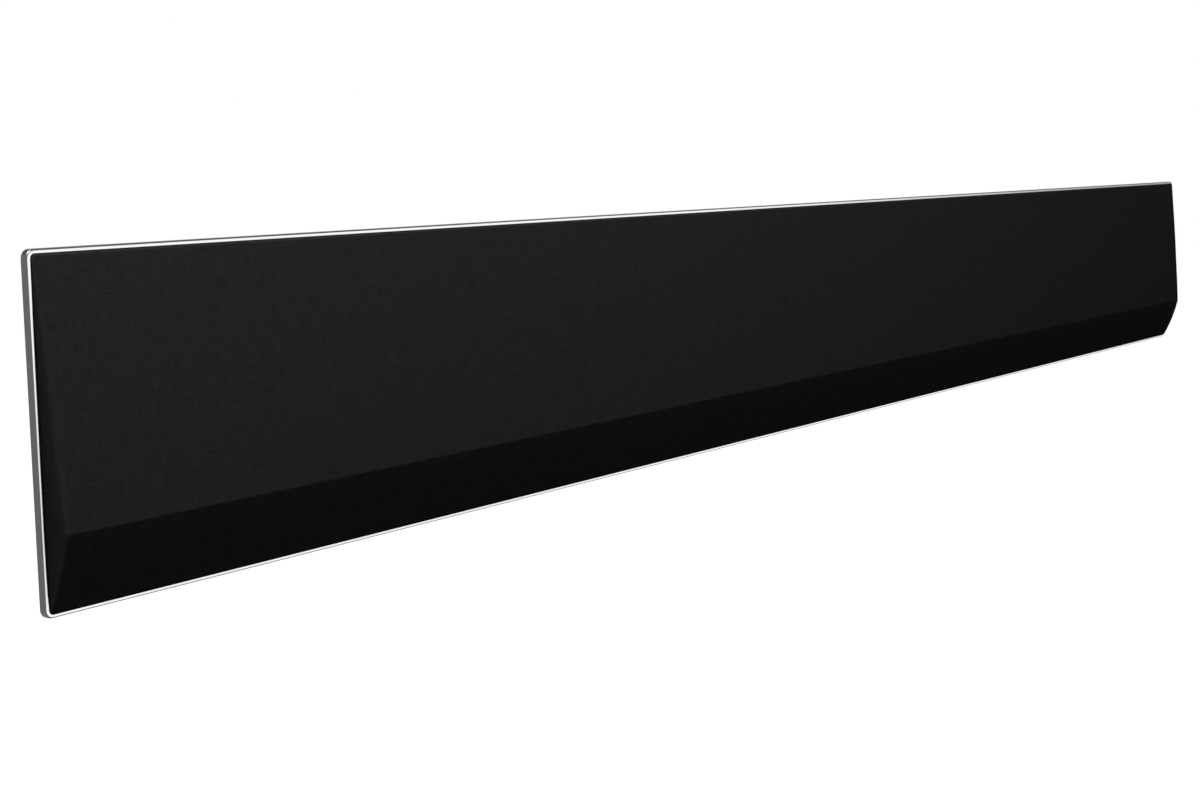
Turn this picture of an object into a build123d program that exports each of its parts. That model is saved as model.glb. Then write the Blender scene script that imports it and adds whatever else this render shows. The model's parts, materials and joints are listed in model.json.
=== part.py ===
from build123d import *
import math
import os

# Slim wall-hung soundbar, in millimetres.
# Origin: centre of the wall plane. +X runs along the bar to the listener's right,
# +Y points into the wall and +Z is up, so the cloth front faces -Y.

# Overall size
BAR_WIDTH = 1446.0
BAR_HEIGHT = 150.0
BAR_DEPTH = 32.5

# Trim frame: a thin ring with a front lip and an inward flange at the back
TRIM_DEPTH = 3.4
TRIM_LIP = 1.7
TRIM_CORNER = 4.0
FLANGE_THICK = 1.2
FLANGE_WIDTH = 14.0

# Cloth front: two gently crowned faces that meet at a crease
BULGE = 12.5
CREASE_HEIGHT = 36.2
TOP_LIFT = 0.4
BOTTOM_LIFT = 0.6
UPPER_CROWN = 1.3
LOWER_CROWN = 1.4
END_ROUND = 1.2
END_ANGLES = (0, 30, 60, 90)
CLOTH_CORNER = 2.0
CLOTH_THICK = 0.8
CLOTH_GAP = 0.2
CLOTH_FIT = 0.4

# Grille frame under the cloth
GRILLE_WALL = 1.8
GRILLE_COLUMNS = 10
GRILLE_BAR = 5.0
GRILLE_RIM = 15.0
GRILLE_FOOT = 11.0
CREASE_BAR = 6.0
ROW_BAR = 4.0
TAB_WIDTH = 10.0
TAB_THICK = 1.6
TAB_REACH = 0.3
TAB_EDGE_OFFSET = 9.0
TAB_PITCH = 450.0
TAB_COLUMNS = 3
TAB_FIT = 0.3

# Rear cover
PAD_THICK = 1.5
COVER_INSET = 3.0
COVER_END_TAPER = 16.0
COVER_WALL = 2.5
COVER_EDGE = 4.0
COVER_CORNER = 3.0
GASKET_THICK = 0.8
RIB_THICK = 1.5
RIB_HEIGHT = 5.0
RIB_PLACES = (-330.0, -200.0, 95.0, 425.0)

# Connector bay, open at the back and underneath
BAY_CENTRE = 240.0
BAY_WIDTH = 200.0
BAY_HEIGHT = 56.0
BAY_DEPTH = 11.0
BAY_WALL = 1.6

# Vent slots behind the heat sink
VENT_COUNT = 9
VENT_PITCH = 8.0
VENT_WIDTH = 2.6
VENT_HEIGHT = 26.0

# Rear cover screws
SCREW_EDGE_OFFSET = 19.0
SCREW_END_OFFSET = 63.0
SCREW_R = 1.5
SCREW_HEAD_R = 3.2
SCREW_HEAD_HEIGHT = 2.2
SCREW_SINK = 3.0
SCREW_CLEARANCE = 0.2
SCREW_SLOT = 1.2
SCREW_BITE = 1.6
BOSS_WALL = 1.6
PILOT_HEIGHT = 2.2
PILOT_WALL = 2.0
THREAD_FIT = 0.05
HEX_SIDES = 6

# Wall bracket inserts, for machine screws of 4 mm
INSERT_SPAN = 1260.0
INSERT_RISE = 50.0
INSERT_HOLE_R = 2.0
INSERT_WALL = 1.0
INSERT_LENGTH = 8.0
INSERT_BOSS_WALL = 2.0
INSERT_FLOOR = 1.8

# Rubber wall pads
PAD_WIDTH = 40.0
PAD_HEIGHT = 14.0
PAD_END_OFFSET = 120.0
PAD_EDGE_OFFSET = 34.0
PAD_CORNER = 3.0

# Baffle
BAFFLE_THICK = 2.0
BAFFLE_GAP = 0.5

# Woofers
WOOFER_END_OFFSET = 243.0
WOOFER_Z = -8.0
WOOFER_LENGTH = 132.0
WOOFER_HEIGHT = 58.0
WOOFER_CORNER = 6.0
WOOFER_PLATE = 1.5
OPENING_LENGTH = 112.0
OPENING_HEIGHT = 42.0
CUTOUT_MARGIN = 2.5
CUTOUT_CORNER = 10.0
DISH_LENGTH = 98.0
DISH_HEIGHT = 32.0
DISH_RIM = 3.0
DISH_RISE = 3.0
DISH_THICK = 0.8
DISH_GAP = 0.3
ROLL_HEIGHT = 2.0
ROLL_THICK = 0.7
ROLL_SEAT = 1.2
SEAT_CORNER = 9.0
LEG_WIDTH = 8.0
LEG_THICK = 2.0
LEG_PLACE = 30.0
BRIDGE_THICK = 1.5
BRIDGE_DEPTH = 8.6
YOKE_LENGTH = 64.0
YOKE_HEIGHT = 26.0
YOKE_FLOOR = 2.0
YOKE_SIDE = 3.0
YOKE_DEPTH = 6.0
MAGNET_LENGTH = 58.0
MOTOR_GAP = 0.6
COIL_WALL = 1.4
COIL_FLOOR_GAP = 2.2
SPIDER_THICK = 0.6
SPIDER_FOLD = 0.5
SPIDER_FOLDS = 3
SPIDER_GAP = 0.3
STAKE_SIZE = 3.0
STAKE_EDGE = 5.0
STAKE_PROUD = 0.8
STAKE_FIT = 0.15

# Tweeters
TWEETER_END_OFFSET = 133.0
TWEETER_PLATE = 36.0
TWEETER_PLATE_THICK = 1.5
TWEETER_CORNER = 4.0
TWEETER_CAN = 26.0
TWEETER_CAN_DEPTH = 8.0
TWEETER_MARGIN = 0.5
RIBBON_WIDTH = 10.0
RIBBON_HEIGHT = 22.0
RIBBON_FOLDS = 6
RIBBON_FOLD = 1.4
RIBBON_THICK = 0.4
RIBBON_GAP = 0.2
POCKET_DEPTH = 2.6

# Main board and what stands on it
BOARD_WIDTH = 180.0
BOARD_HEIGHT = 49.0
BOARD_THICK = 1.6
BOARD_BAFFLE_GAP = 1.5
BOARD_BAY_GAP = 1.0
POST_SIZE = 6.0
POST_EDGE = 7.0
SINK_WIDTH = 70.0
SINK_HEIGHT = 24.0
SINK_BASE = 2.0
SINK_DEPTH = 6.0
FIN_COUNT = 9
FIN_THICK = 1.5
CAPACITOR_WIDTH = 6.0
CAPACITOR_DEPTH = 5.6
CAPACITOR_LENGTH = 14.0
CAPACITOR_COUNT = 2
CAPACITOR_PITCH = 8.0
MODULE_WIDTH = 22.0
MODULE_HEIGHT = 16.0
MODULE_THICK = 2.6
TOP_ROW_EDGE = 6.0
CAPACITOR_PLACE = -70.0
MODULE_PLACE = 68.0

# Sockets, which face down into the connector bay
SOCKET_LENGTH = 12.0
SOCKET_DROP = 10.0
SOCKET_FIT = 0.3
POWER_PLACE = -62.0
POWER_WIDTH = 9.0
POWER_DEPTH = 7.2
POWER_BORE_R = 2.8
POWER_PIN_R = 1.0
LINE_PLACE = -34.0
LINE_WIDTH = 7.0
LINE_DEPTH = 6.6
LINE_BORE_R = 1.8
AV_PLACE = 4.0
AV_WIDTH = 16.0
AV_DEPTH = 6.4
AV_SHELL = 0.8
AV_TONGUE = 1.4
DATA_PLACE = 46.0
DATA_WIDTH = 14.0
DATA_DEPTH = 7.0
DATA_SHELL = 0.8
DATA_TONGUE = 1.8
TONGUE_SIDE_GAP = 1.4
TONGUE_SETBACK = 2.0

# Buttons on the underside, with their board
BUTTON_END_OFFSET = 163.0
BUTTON_PITCH = 20.0
BUTTON_WIDTH = 12.0
BUTTON_DEPTH = 4.0
BUTTON_CORNER = 1.0
BUTTON_PROUD = 0.8
BUTTON_GAP = 0.3
BUTTON_FLANGE = 1.0
BUTTON_FLANGE_THICK = 1.0
BUTTON_TRAVEL = 0.5
BUTTON_STEM = 3.0
BUTTON_STEM_LENGTH = 4.0
SWITCH_SIZE = 5.0
SWITCH_HEIGHT = 3.4
BUTTON_BOARD_MARGIN = 6.0
BUTTON_BOARD_DEPTH = 6.0
BUTTON_BOARD_THICK = 1.6
BUTTON_POST = 4.0

# Status lights and remote-control receiver behind the lower cloth face
LIGHT_PLACE = 120.0
LIGHT_EDGE_OFFSET = 25.0
LIGHT_BOARD_WIDTH = 56.0
LIGHT_BOARD_HEIGHT = 10.0
LIGHT_BOARD_THICK = 1.2
LIGHT_COUNT = 4
LIGHT_PITCH = 7.0
LIGHT_SIZE = 2.0
LIGHT_TALL = 1.0
LIGHT_SHIFT = -12.0
PIPE_HEIGHT = 4.0
PIPE_FOOT = 2.0
PIPE_END = 4.0
PIPE_LENGTH = 7.5
PIPE_FIT = 0.3
RECEIVER_SHIFT = 18.0
RECEIVER_WIDTH = 7.0
RECEIVER_HEIGHT = 7.0
RECEIVER_DEPTH = 4.0
LENS_R = 2.0

# Internal leads, which lie on the back of the baffle
LEAD_WIDTH = 3.0
LEAD_THICK = 2.0
LEAD_BEND = 5.0
LEAD_END_GAP = 0.1
LEAD_Z = 28.0

# Planes and half sizes that follow from the sizes above
HALF_W = BAR_WIDTH / 2
HALF_H = BAR_HEIGHT / 2
Z_CREASE = CREASE_HEIGHT - HALF_H
Y_TRIM_FRONT = BULGE - BAR_DEPTH
Y_TRIM_BACK = Y_TRIM_FRONT + TRIM_DEPTH
Y_FLANGE_FRONT = Y_TRIM_BACK - FLANGE_THICK
Y_BAFFLE_FRONT = Y_TRIM_BACK
Y_BAFFLE_BACK = Y_BAFFLE_FRONT + BAFFLE_THICK
Y_COVER_RIM = Y_TRIM_BACK + GASKET_THICK
Y_COVER_BACK = -PAD_THICK
Y_COVER_FLOOR = Y_COVER_BACK - COVER_WALL
COVER_HALF_W = HALF_W - COVER_INSET
COVER_HALF_H = HALF_H - COVER_INSET
Z_COVER_SOLE = COVER_WALL - COVER_HALF_H
BAY_LEFT = BAY_CENTRE - BAY_WIDTH / 2
BAY_RIGHT = BAY_CENTRE + BAY_WIDTH / 2
Z_BAY_TOP = BAY_HEIGHT - COVER_HALF_H
Y_BAY_FRONT = Y_COVER_BACK - BAY_DEPTH
Y_BOARD_FRONT = Y_BAFFLE_BACK + BOARD_BAFFLE_GAP
Y_BOARD_BACK = Y_BOARD_FRONT + BOARD_THICK
Z_BOARD_FOOT = Z_BAY_TOP + BAY_WALL + BOARD_BAY_GAP
Z_BOARD_TOP = Z_BOARD_FOOT + BOARD_HEIGHT
BOARD_LEFT = BAY_CENTRE - BOARD_WIDTH / 2
BOARD_RIGHT = BAY_CENTRE + BOARD_WIDTH / 2
WOOFER_X = HALF_W - WOOFER_END_OFFSET
TWEETER_X = HALF_W - TWEETER_END_OFFSET
WOOFER_PLACES = {"left": -WOOFER_X, "right": WOOFER_X}
TWEETER_PLACES = {"left": -TWEETER_X, "right": TWEETER_X}
SCREW_Z = HALF_H - SCREW_EDGE_OFFSET
SCREW_X = HALF_W - SCREW_END_OFFSET
SCREW_PLACES = [(x, z) for x in (-SCREW_X, 0, SCREW_X)
                for z in (-SCREW_Z, SCREW_Z)]
INSERT_PLACES = [(x, z) for x in (-INSERT_SPAN / 2, INSERT_SPAN / 2)
                 for z in (-INSERT_RISE / 2, INSERT_RISE / 2)]
TAB_Z = HALF_H - TAB_EDGE_OFFSET
TAB_PLACES = [((i - (TAB_COLUMNS - 1) / 2) * TAB_PITCH, z)
              for i in range(TAB_COLUMNS) for z in (-TAB_Z, TAB_Z)]
Y_PLATE_FRONT = Y_BAFFLE_FRONT - WOOFER_PLATE
Y_DISH_RIM = Y_PLATE_FRONT - ROLL_THICK
Y_DISH_BACK = Y_DISH_RIM + DISH_RISE
Y_BRIDGE_FRONT = Y_BAFFLE_FRONT + BRIDGE_DEPTH
Y_YOKE_FLOOR = Y_BRIDGE_FRONT - YOKE_FLOOR
Y_YOKE_FRONT = Y_BRIDGE_FRONT - YOKE_DEPTH
COIL_HALF_H = YOKE_HEIGHT / 2 - YOKE_SIDE - MOTOR_GAP
MAGNET_HALF_H = COIL_HALF_H - COIL_WALL - MOTOR_GAP
COIL_HALF_L = MAGNET_LENGTH / 2 + MOTOR_GAP + COIL_WALL
LIGHT_Z = LIGHT_EDGE_OFFSET - HALF_H
Y_BUTTON = Y_BAFFLE_BACK + BUTTON_GAP + BUTTON_FLANGE + BUTTON_DEPTH / 2
Z_BUTTON_FLANGE = Z_COVER_SOLE + BUTTON_GAP
Z_STEM_TOP = Z_BUTTON_FLANGE + BUTTON_FLANGE_THICK + BUTTON_STEM_LENGTH
Z_BUTTON_BOARD = Z_STEM_TOP + BUTTON_TRAVEL + BUTTON_GAP + SWITCH_HEIGHT

# How far a cut runs past what it cuts
PAST = 20.0


def block(x, y, z):
    """Box between a low and a high limit on each axis."""
    limits = (x, y, z)
    middle = [(low + high) / 2 for low, high in limits]
    return Pos(*middle) * Box(*[high - low for low, high in limits])


def around(centre, size):
    """Low and high limit of a span about its centre."""
    return (centre - size / 2, centre + size / 2)


def facing(x, y, z):
    """Plane that faces the listener, with its origin at a point."""
    return Plane(origin=(x, y, z), x_dir=(1, 0, 0), z_dir=(0, -1, 0))


def across(x):
    """Plane that cuts across the bar at x: its own axes are Y and Z."""
    return Plane.YZ.offset(x)


def slab(outline, y_back, y_front, x=0.0, z=0.0):
    """Outline drawn facing the listener, pushed from y_back forward to y_front."""
    return extrude(facing(x, y_back, z) * outline, y_back - y_front)


def square(size):
    return Rectangle(size, size)


def clipped(width, height, corner):
    """Rectangle with its corners cut off."""
    return chamfer(Rectangle(width, height).vertices(), corner)


def rod(radius, y_back, y_front, x=0.0, z=0.0):
    """Round bar along Y."""
    return slab(Circle(radius), y_back, y_front, x, z)


def column(outline, z_low, z_high, x, y):
    """Outline drawn in plan, raised from z_low to z_high."""
    return extrude(Pos(x, y, z_low) * outline, z_high - z_low)


def save(name, shape):
    export_step(shape, f"parts/{name}.step")


def group(solids):
    """Several separate solids kept in one node."""
    return Compound(children=[item for solid in solids for item in solid.solids()])


def wedge_section(x, inset, swell, y_back):
    """Cut across the cloth front at x: crowned upper and lower faces that meet at the crease."""
    edge = TRIM_LIP + CLOTH_GAP + inset
    top = (Y_TRIM_FRONT - swell * TOP_LIFT + inset, HALF_H - edge)
    crease = (Y_TRIM_FRONT - swell * BULGE + inset, Z_CREASE)
    foot = (Y_TRIM_FRONT - swell * BOTTOM_LIFT + inset, edge - HALF_H)
    upper = ((top[0] + crease[0]) / 2 - swell * UPPER_CROWN, (top[1] + crease[1]) / 2)
    lower = ((crease[0] + foot[0]) / 2 - swell * LOWER_CROWN, (crease[1] + foot[1]) / 2)
    outline = [
        Line((y_back, top[1]), top),
        ThreePointArc(top, upper, crease),
        ThreePointArc(crease, lower, foot),
        Line(foot, (y_back, foot[1])),
        Line((y_back, foot[1]), (y_back, top[1])),
    ]
    return across(x) * make_face(outline)


def wedge(inset, y_back):
    """Front form of the bar, set in from the cloth's outer face, with rounded ends."""
    end = HALF_W - TRIM_LIP - CLOTH_GAP - inset
    stations = []
    for angle in END_ANGLES:
        run = END_ROUND * (1 - math.cos(math.radians(angle)))
        swell = 1 - END_ROUND / BULGE * (1 - math.sin(math.radians(angle)))
        stations.append((end - run, swell))
    rows = [(-x, swell) for x, swell in stations] + stations[::-1]
    form = loft([wedge_section(x, inset, swell, y_back) for x, swell in rows], ruled=True)
    half_h = HALF_H - TRIM_LIP - CLOTH_GAP - inset
    return form & slab(RectangleRounded(2 * end, 2 * half_h, CLOTH_CORNER), y_back, -BAR_DEPTH - PAST)


def ring_outline(inset):
    """Trim frame's outline, set in from its outer edge."""
    return RectangleRounded(BAR_WIDTH - 2 * inset, BAR_HEIGHT - 2 * inset, TRIM_CORNER - inset)


def make_trim_frame():
    lip = slab(ring_outline(0) - ring_outline(TRIM_LIP), Y_TRIM_BACK, Y_TRIM_FRONT)
    window = Rectangle(BAR_WIDTH - 2 * FLANGE_WIDTH, BAR_HEIGHT - 2 * FLANGE_WIDTH)
    flange = slab(ring_outline(0) - window, Y_TRIM_BACK, Y_FLANGE_FRONT)
    frame = lip + flange
    return frame - tab_slots()


def tab_slots():
    """Slots in the flange and baffle that the grille frame's snap tabs pass through."""
    outline = Rectangle(TAB_WIDTH + 2 * TAB_FIT, TAB_THICK + 2 * TAB_FIT)
    return [slab(outline, 0, Y_TRIM_FRONT, x, z) for x, z in TAB_PLACES]


def make_grille_cloth():
    return wedge(0, Y_FLANGE_FRONT) - wedge(CLOTH_THICK, Y_FLANGE_FRONT + PAST)


def make_grille_frame():
    inset = CLOTH_THICK + CLOTH_FIT
    outer = wedge(inset, Y_FLANGE_FRONT)
    shell = outer - wedge(inset + GRILLE_WALL, Y_FLANGE_FRONT + PAST)
    reach = BAR_WIDTH - 2 * GRILLE_RIM
    pitch = reach / GRILLE_COLUMNS
    z_mid = (HALF_H - GRILLE_RIM + Z_CREASE + CREASE_BAR) / 2
    rows = (
        (GRILLE_FOOT - HALF_H, Z_CREASE - CREASE_BAR),
        (Z_CREASE + CREASE_BAR, z_mid - ROW_BAR / 2),
        (z_mid + ROW_BAR / 2, HALF_H - GRILLE_RIM),
    )
    windows = []
    for i in range(GRILLE_COLUMNS):
        x = (i + 0.5) * pitch - reach / 2
        for span in rows:
            windows.append(block(around(x, pitch - GRILLE_BAR), (-BAR_DEPTH - PAST, Y_FLANGE_FRONT), span))
    tabs = []
    for x, z in TAB_PLACES:
        tab = block(around(x, TAB_WIDTH), (-BAR_DEPTH, Y_FLANGE_FRONT), around(z, TAB_THICK)) & outer
        foot = block(around(x, TAB_WIDTH), (Y_FLANGE_FRONT, Y_BAFFLE_BACK + TAB_REACH),
                     around(z, TAB_THICK))
        tabs.append(tab + foot)
    return shell - windows + tabs


def cover_half_width(wall, y):
    """Half the rear cover's width at y, set in by a wall from its slanted ends."""
    taper = COVER_END_TAPER * (y + wall - Y_COVER_RIM) / (Y_COVER_BACK - Y_COVER_RIM)
    return COVER_HALF_W - wall - taper


def cover_form(wall):
    """Rear cover's form, set in by a wall: tapered ends and bevelled long edges at the back."""
    y_back = Y_COVER_BACK - wall
    sections = []
    for y, bevel in ((Y_COVER_RIM, 0), (y_back - COVER_EDGE, 0), (y_back, COVER_EDGE)):
        half_h = COVER_HALF_H - wall - bevel
        outline = clipped(2 * cover_half_width(wall, y), 2 * half_h, COVER_CORNER)
        sections.append(facing(0, y, 0) * outline)
    return loft(sections, ruled=True)


def sockets():
    """Name, place along the bay, width and depth of each socket."""
    return {
        "power_jack": (BAY_CENTRE + POWER_PLACE, POWER_WIDTH, POWER_DEPTH),
        "line_jack": (BAY_CENTRE + LINE_PLACE, LINE_WIDTH, LINE_DEPTH),
        "av_jack": (BAY_CENTRE + AV_PLACE, AV_WIDTH, AV_DEPTH),
        "data_jack": (BAY_CENTRE + DATA_PLACE, DATA_WIDTH, DATA_DEPTH),
    }


def board_posts():
    """Centres of the main board's four posts."""
    return [(x, z) for x in (BOARD_LEFT + POST_EDGE, BOARD_RIGHT - POST_EDGE)
            for z in (Z_BOARD_FOOT + POST_EDGE, Z_BOARD_TOP - POST_EDGE)]


def make_rear_cover():
    cover = cover_form(0) - cover_form(COVER_WALL)
    bay_box = block((BAY_LEFT - BAY_WALL, BAY_RIGHT + BAY_WALL), (Y_BAY_FRONT - BAY_WALL, Y_COVER_FLOOR),
                    (Z_COVER_SOLE, Z_BAY_TOP + BAY_WALL))
    ribs = [block(around(x, RIB_THICK), (Y_COVER_FLOOR - RIB_HEIGHT, Y_COVER_FLOOR),
                  (Z_COVER_SOLE, -Z_COVER_SOLE)) for x in RIB_PLACES]
    well = 2 * (SCREW_HEAD_R + SCREW_CLEARANCE)
    bosses = [slab(square(well + 2 * BOSS_WALL), Y_COVER_FLOOR, Y_BAFFLE_BACK, x, z)
              for x, z in SCREW_PLACES]
    insert_r = INSERT_HOLE_R + INSERT_WALL
    y_nest = Y_COVER_BACK - INSERT_LENGTH - INSERT_FLOOR
    nests = [slab(square(2 * (insert_r + INSERT_BOSS_WALL)), Y_COVER_FLOOR, y_nest, x, z)
             for x, z in INSERT_PLACES]
    posts = [block(around(x, POST_SIZE), (Y_BOARD_BACK, Y_COVER_FLOOR), around(z, POST_SIZE))
             for x, z in board_posts()]
    cover = cover + ([bay_box] + ribs + bosses + nests + posts + button_posts())
    cuts = [block((BAY_LEFT, BAY_RIGHT), (Y_BAY_FRONT, PAST), (-HALF_H - PAST, Z_BAY_TOP))]
    shank = 2 * (SCREW_R + SCREW_CLEARANCE)
    for x, z in SCREW_PLACES:
        cuts.append(slab(Rectangle(shank + 2 * SCREW_SLOT, shank), PAST, Y_BAFFLE_BACK, x, z))
        cuts.append(slab(square(well), PAST, Y_COVER_BACK - SCREW_SINK, x, z))
    nest = RegularPolygon(insert_r + THREAD_FIT, HEX_SIDES)
    for x, z in INSERT_PLACES:
        cuts.append(slab(nest, PAST, Y_COVER_BACK - INSERT_LENGTH, x, z))
    for x, width, depth in sockets().values():
        y = Y_BOARD_BACK + depth / 2
        cuts.append(block(around(x, width + 2 * SOCKET_FIT), around(y, depth + 2 * SOCKET_FIT),
                          (Z_BAY_TOP, Z_BAY_TOP + BAY_WALL)))
    z_vent = Z_BOARD_TOP - TOP_ROW_EDGE - SINK_HEIGHT / 2
    for i in range(VENT_COUNT):
        x = BAY_CENTRE + (i - (VENT_COUNT - 1) / 2) * VENT_PITCH
        cuts.append(block(around(x, VENT_WIDTH), (Y_COVER_FLOOR - COVER_WALL, PAST),
                          around(z_vent, VENT_HEIGHT)))
    hole = clipped(BUTTON_WIDTH + 2 * BUTTON_GAP, BUTTON_DEPTH + 2 * BUTTON_GAP, BUTTON_CORNER)
    for x in button_places().values():
        cuts.append(column(hole, -HALF_H, Z_COVER_SOLE, x, Y_BUTTON))
    return cover - cuts


def make_gasket():
    outer = clipped(2 * COVER_HALF_W, 2 * COVER_HALF_H, COVER_CORNER)
    inner = clipped(2 * (COVER_HALF_W - COVER_WALL), 2 * (COVER_HALF_H - COVER_WALL), COVER_CORNER)
    return slab(outer - inner, Y_COVER_RIM, Y_TRIM_BACK)


def make_wall_pads():
    x = HALF_W - PAD_END_OFFSET
    z = HALF_H - PAD_EDGE_OFFSET
    places = [(-x, -z), (-x, z), (0, 0), (x, -z), (x, z)]
    outline = clipped(PAD_WIDTH, PAD_HEIGHT, PAD_CORNER)
    return group([slab(outline, 0, Y_COVER_BACK, px, pz) for px, pz in places])


def make_wall_inserts():
    ring = RegularPolygon(INSERT_HOLE_R + INSERT_WALL, HEX_SIDES) - Circle(INSERT_HOLE_R)
    return group([slab(ring, Y_COVER_BACK, Y_COVER_BACK - INSERT_LENGTH, x, z) for x, z in INSERT_PLACES])


def make_cover_screws():
    y_seat = Y_COVER_BACK - SCREW_SINK
    y_tip = Y_BAFFLE_FRONT - SCREW_BITE
    head = RegularPolygon(SCREW_HEAD_R, HEX_SIDES)
    return group([slab(head, y_seat + SCREW_HEAD_HEIGHT, y_seat, x, z) + rod(SCREW_R, y_seat, y_tip, x, z)
                  for x, z in SCREW_PLACES])


def stake_places(x):
    """Corners of a woofer's plate where the baffle's melted stakes hold it."""
    reach_x = WOOFER_LENGTH / 2 - STAKE_EDGE
    reach_z = WOOFER_HEIGHT / 2 - STAKE_EDGE
    return [(x + dx, WOOFER_Z + dz) for dx in (-reach_x, reach_x) for dz in (-reach_z, reach_z)]


def make_baffle():
    half_w = cover_half_width(COVER_WALL, Y_BAFFLE_BACK) - BAFFLE_GAP
    half_h = COVER_HALF_H - COVER_WALL - BAFFLE_GAP
    baffle = slab(clipped(2 * half_w, 2 * half_h, COVER_CORNER), Y_BAFFLE_BACK, Y_BAFFLE_FRONT)
    pilots = [slab(square(2 * (SCREW_R + PILOT_WALL)), Y_BAFFLE_FRONT, Y_BAFFLE_FRONT - PILOT_HEIGHT, x, z)
              for x, z in SCREW_PLACES]
    y_stake = Y_BAFFLE_FRONT - WOOFER_PLATE - STAKE_PROUD
    stakes = [slab(square(STAKE_SIZE), Y_BAFFLE_FRONT, y_stake, px, pz)
              for x in WOOFER_PLACES.values() for px, pz in stake_places(x)]
    cuts = tab_slots()
    for x, z in SCREW_PLACES:
        cuts.append(rod(SCREW_R + THREAD_FIT, 0, Y_BAFFLE_FRONT - PILOT_HEIGHT, x, z))
    cutout = clipped(OPENING_LENGTH, OPENING_HEIGHT + 2 * CUTOUT_MARGIN, CUTOUT_CORNER)
    for x in WOOFER_PLACES.values():
        cuts.append(slab(cutout, 0, Y_TRIM_FRONT, x, WOOFER_Z))
    for x in TWEETER_PLACES.values():
        cuts.append(slab(square(TWEETER_CAN + 2 * TWEETER_MARGIN), 0, Y_TRIM_FRONT, x, WOOFER_Z))
    return baffle + pilots + stakes - cuts


def make_basket(x):
    plate = slab(RectangleRounded(WOOFER_LENGTH, WOOFER_HEIGHT, WOOFER_CORNER)
                 - SlotOverall(OPENING_LENGTH, OPENING_HEIGHT), Y_BAFFLE_FRONT, Y_PLATE_FRONT, x, WOOFER_Z)
    leg_out = OPENING_HEIGHT / 2 + LEG_THICK
    legs = []
    for side in (-1, 1):
        z_span = sorted((WOOFER_Z + side * (leg_out - LEG_THICK), WOOFER_Z + side * leg_out))
        for place in (-LEG_PLACE, LEG_PLACE):
            legs.append(block(around(x + place, LEG_WIDTH), (Y_BAFFLE_FRONT, Y_BRIDGE_FRONT), z_span))
    bridge = block(around(x, 2 * LEG_PLACE + LEG_WIDTH), (Y_BRIDGE_FRONT, Y_BRIDGE_FRONT + BRIDGE_THICK),
                   around(WOOFER_Z, 2 * leg_out))
    holes = [slab(square(STAKE_SIZE + 2 * STAKE_FIT), Y_BAFFLE_BACK, Y_TRIM_FRONT, px, pz)
             for px, pz in stake_places(x)]
    return plate + legs + bridge - holes


def make_yoke(x):
    body = block(around(x, YOKE_LENGTH), (Y_YOKE_FRONT, Y_BRIDGE_FRONT), around(WOOFER_Z, YOKE_HEIGHT))
    return body - block(around(x, YOKE_LENGTH), (Y_YOKE_FRONT, Y_YOKE_FLOOR),
                        around(WOOFER_Z, YOKE_HEIGHT - 2 * YOKE_SIDE))


def make_magnet(x):
    return block(around(x, MAGNET_LENGTH), (Y_YOKE_FRONT, Y_YOKE_FLOOR),
                 around(WOOFER_Z, 2 * MAGNET_HALF_H))


def make_coil(x):
    outer = Rectangle(2 * COIL_HALF_L, 2 * COIL_HALF_H)
    inner = Rectangle(2 * (COIL_HALF_L - COIL_WALL), 2 * (COIL_HALF_H - COIL_WALL))
    return slab(outer - inner, Y_YOKE_FLOOR - COIL_FLOOR_GAP, Y_DISH_BACK, x, WOOFER_Z)


def make_diaphragm(x):
    """Shallow racetrack dish that the voice coil drives."""
    dish = slab(SlotOverall(DISH_LENGTH, DISH_HEIGHT), Y_DISH_BACK, Y_DISH_RIM, x, WOOFER_Z)
    hollow = SlotOverall(DISH_LENGTH - 2 * DISH_RIM, DISH_HEIGHT - 2 * DISH_RIM)
    return dish - slab(hollow, Y_DISH_BACK - DISH_THICK, Y_DISH_RIM, x, WOOFER_Z)


def make_surround(x):
    """Foam ring with a raised ridge, glued to the plate around the dish."""
    inner = SlotOverall(DISH_LENGTH + 2 * DISH_GAP, DISH_HEIGHT + 2 * DISH_GAP)
    seat = clipped(OPENING_LENGTH + 2 * ROLL_SEAT, OPENING_HEIGHT + 2 * ROLL_SEAT, SEAT_CORNER)
    ridge = SlotOverall(OPENING_LENGTH - 2 * ROLL_SEAT, OPENING_HEIGHT - 2 * ROLL_SEAT)
    foot = slab(seat - inner, Y_PLATE_FRONT, Y_PLATE_FRONT - ROLL_THICK, x, WOOFER_Z)
    return foot + slab(ridge - inner, Y_PLATE_FRONT, Y_PLATE_FRONT - ROLL_HEIGHT, x, WOOFER_Z)


def pleats(width, fold, folds, thick):
    """Zigzag strip, drawn from its middle: folds across its width, with a wall of its own thickness."""
    steps = 2 * folds
    near = [(width * (i / steps - 0.5), fold * (i % 2)) for i in range(steps + 1)]
    far = [(u, v + thick) for u, v in reversed(near)]
    return make_face(Polyline(*near, *far, close=True))


def make_spider(x):
    """Two pleated strips that centre the voice coil, one above it and one below."""
    z_in = COIL_HALF_H + SPIDER_GAP
    z_out = OPENING_HEIGHT / 2 - SPIDER_GAP
    y_near = (Y_YOKE_FRONT + Y_DISH_BACK + SPIDER_FOLD + SPIDER_THICK) / 2
    length = 2 * LEG_PLACE + LEG_WIDTH
    outline = Rot(0, 0, 90) * pleats(z_out - z_in, SPIDER_FOLD, SPIDER_FOLDS, SPIDER_THICK)
    strips = []
    for side in (-1, 1):
        z = WOOFER_Z + side * (z_in + z_out) / 2
        plane = Plane(origin=(x - length / 2, y_near, z), x_dir=(0, 1, 0), z_dir=(1, 0, 0))
        strips.append(extrude(plane * outline, length))
    return group(strips)


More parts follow.
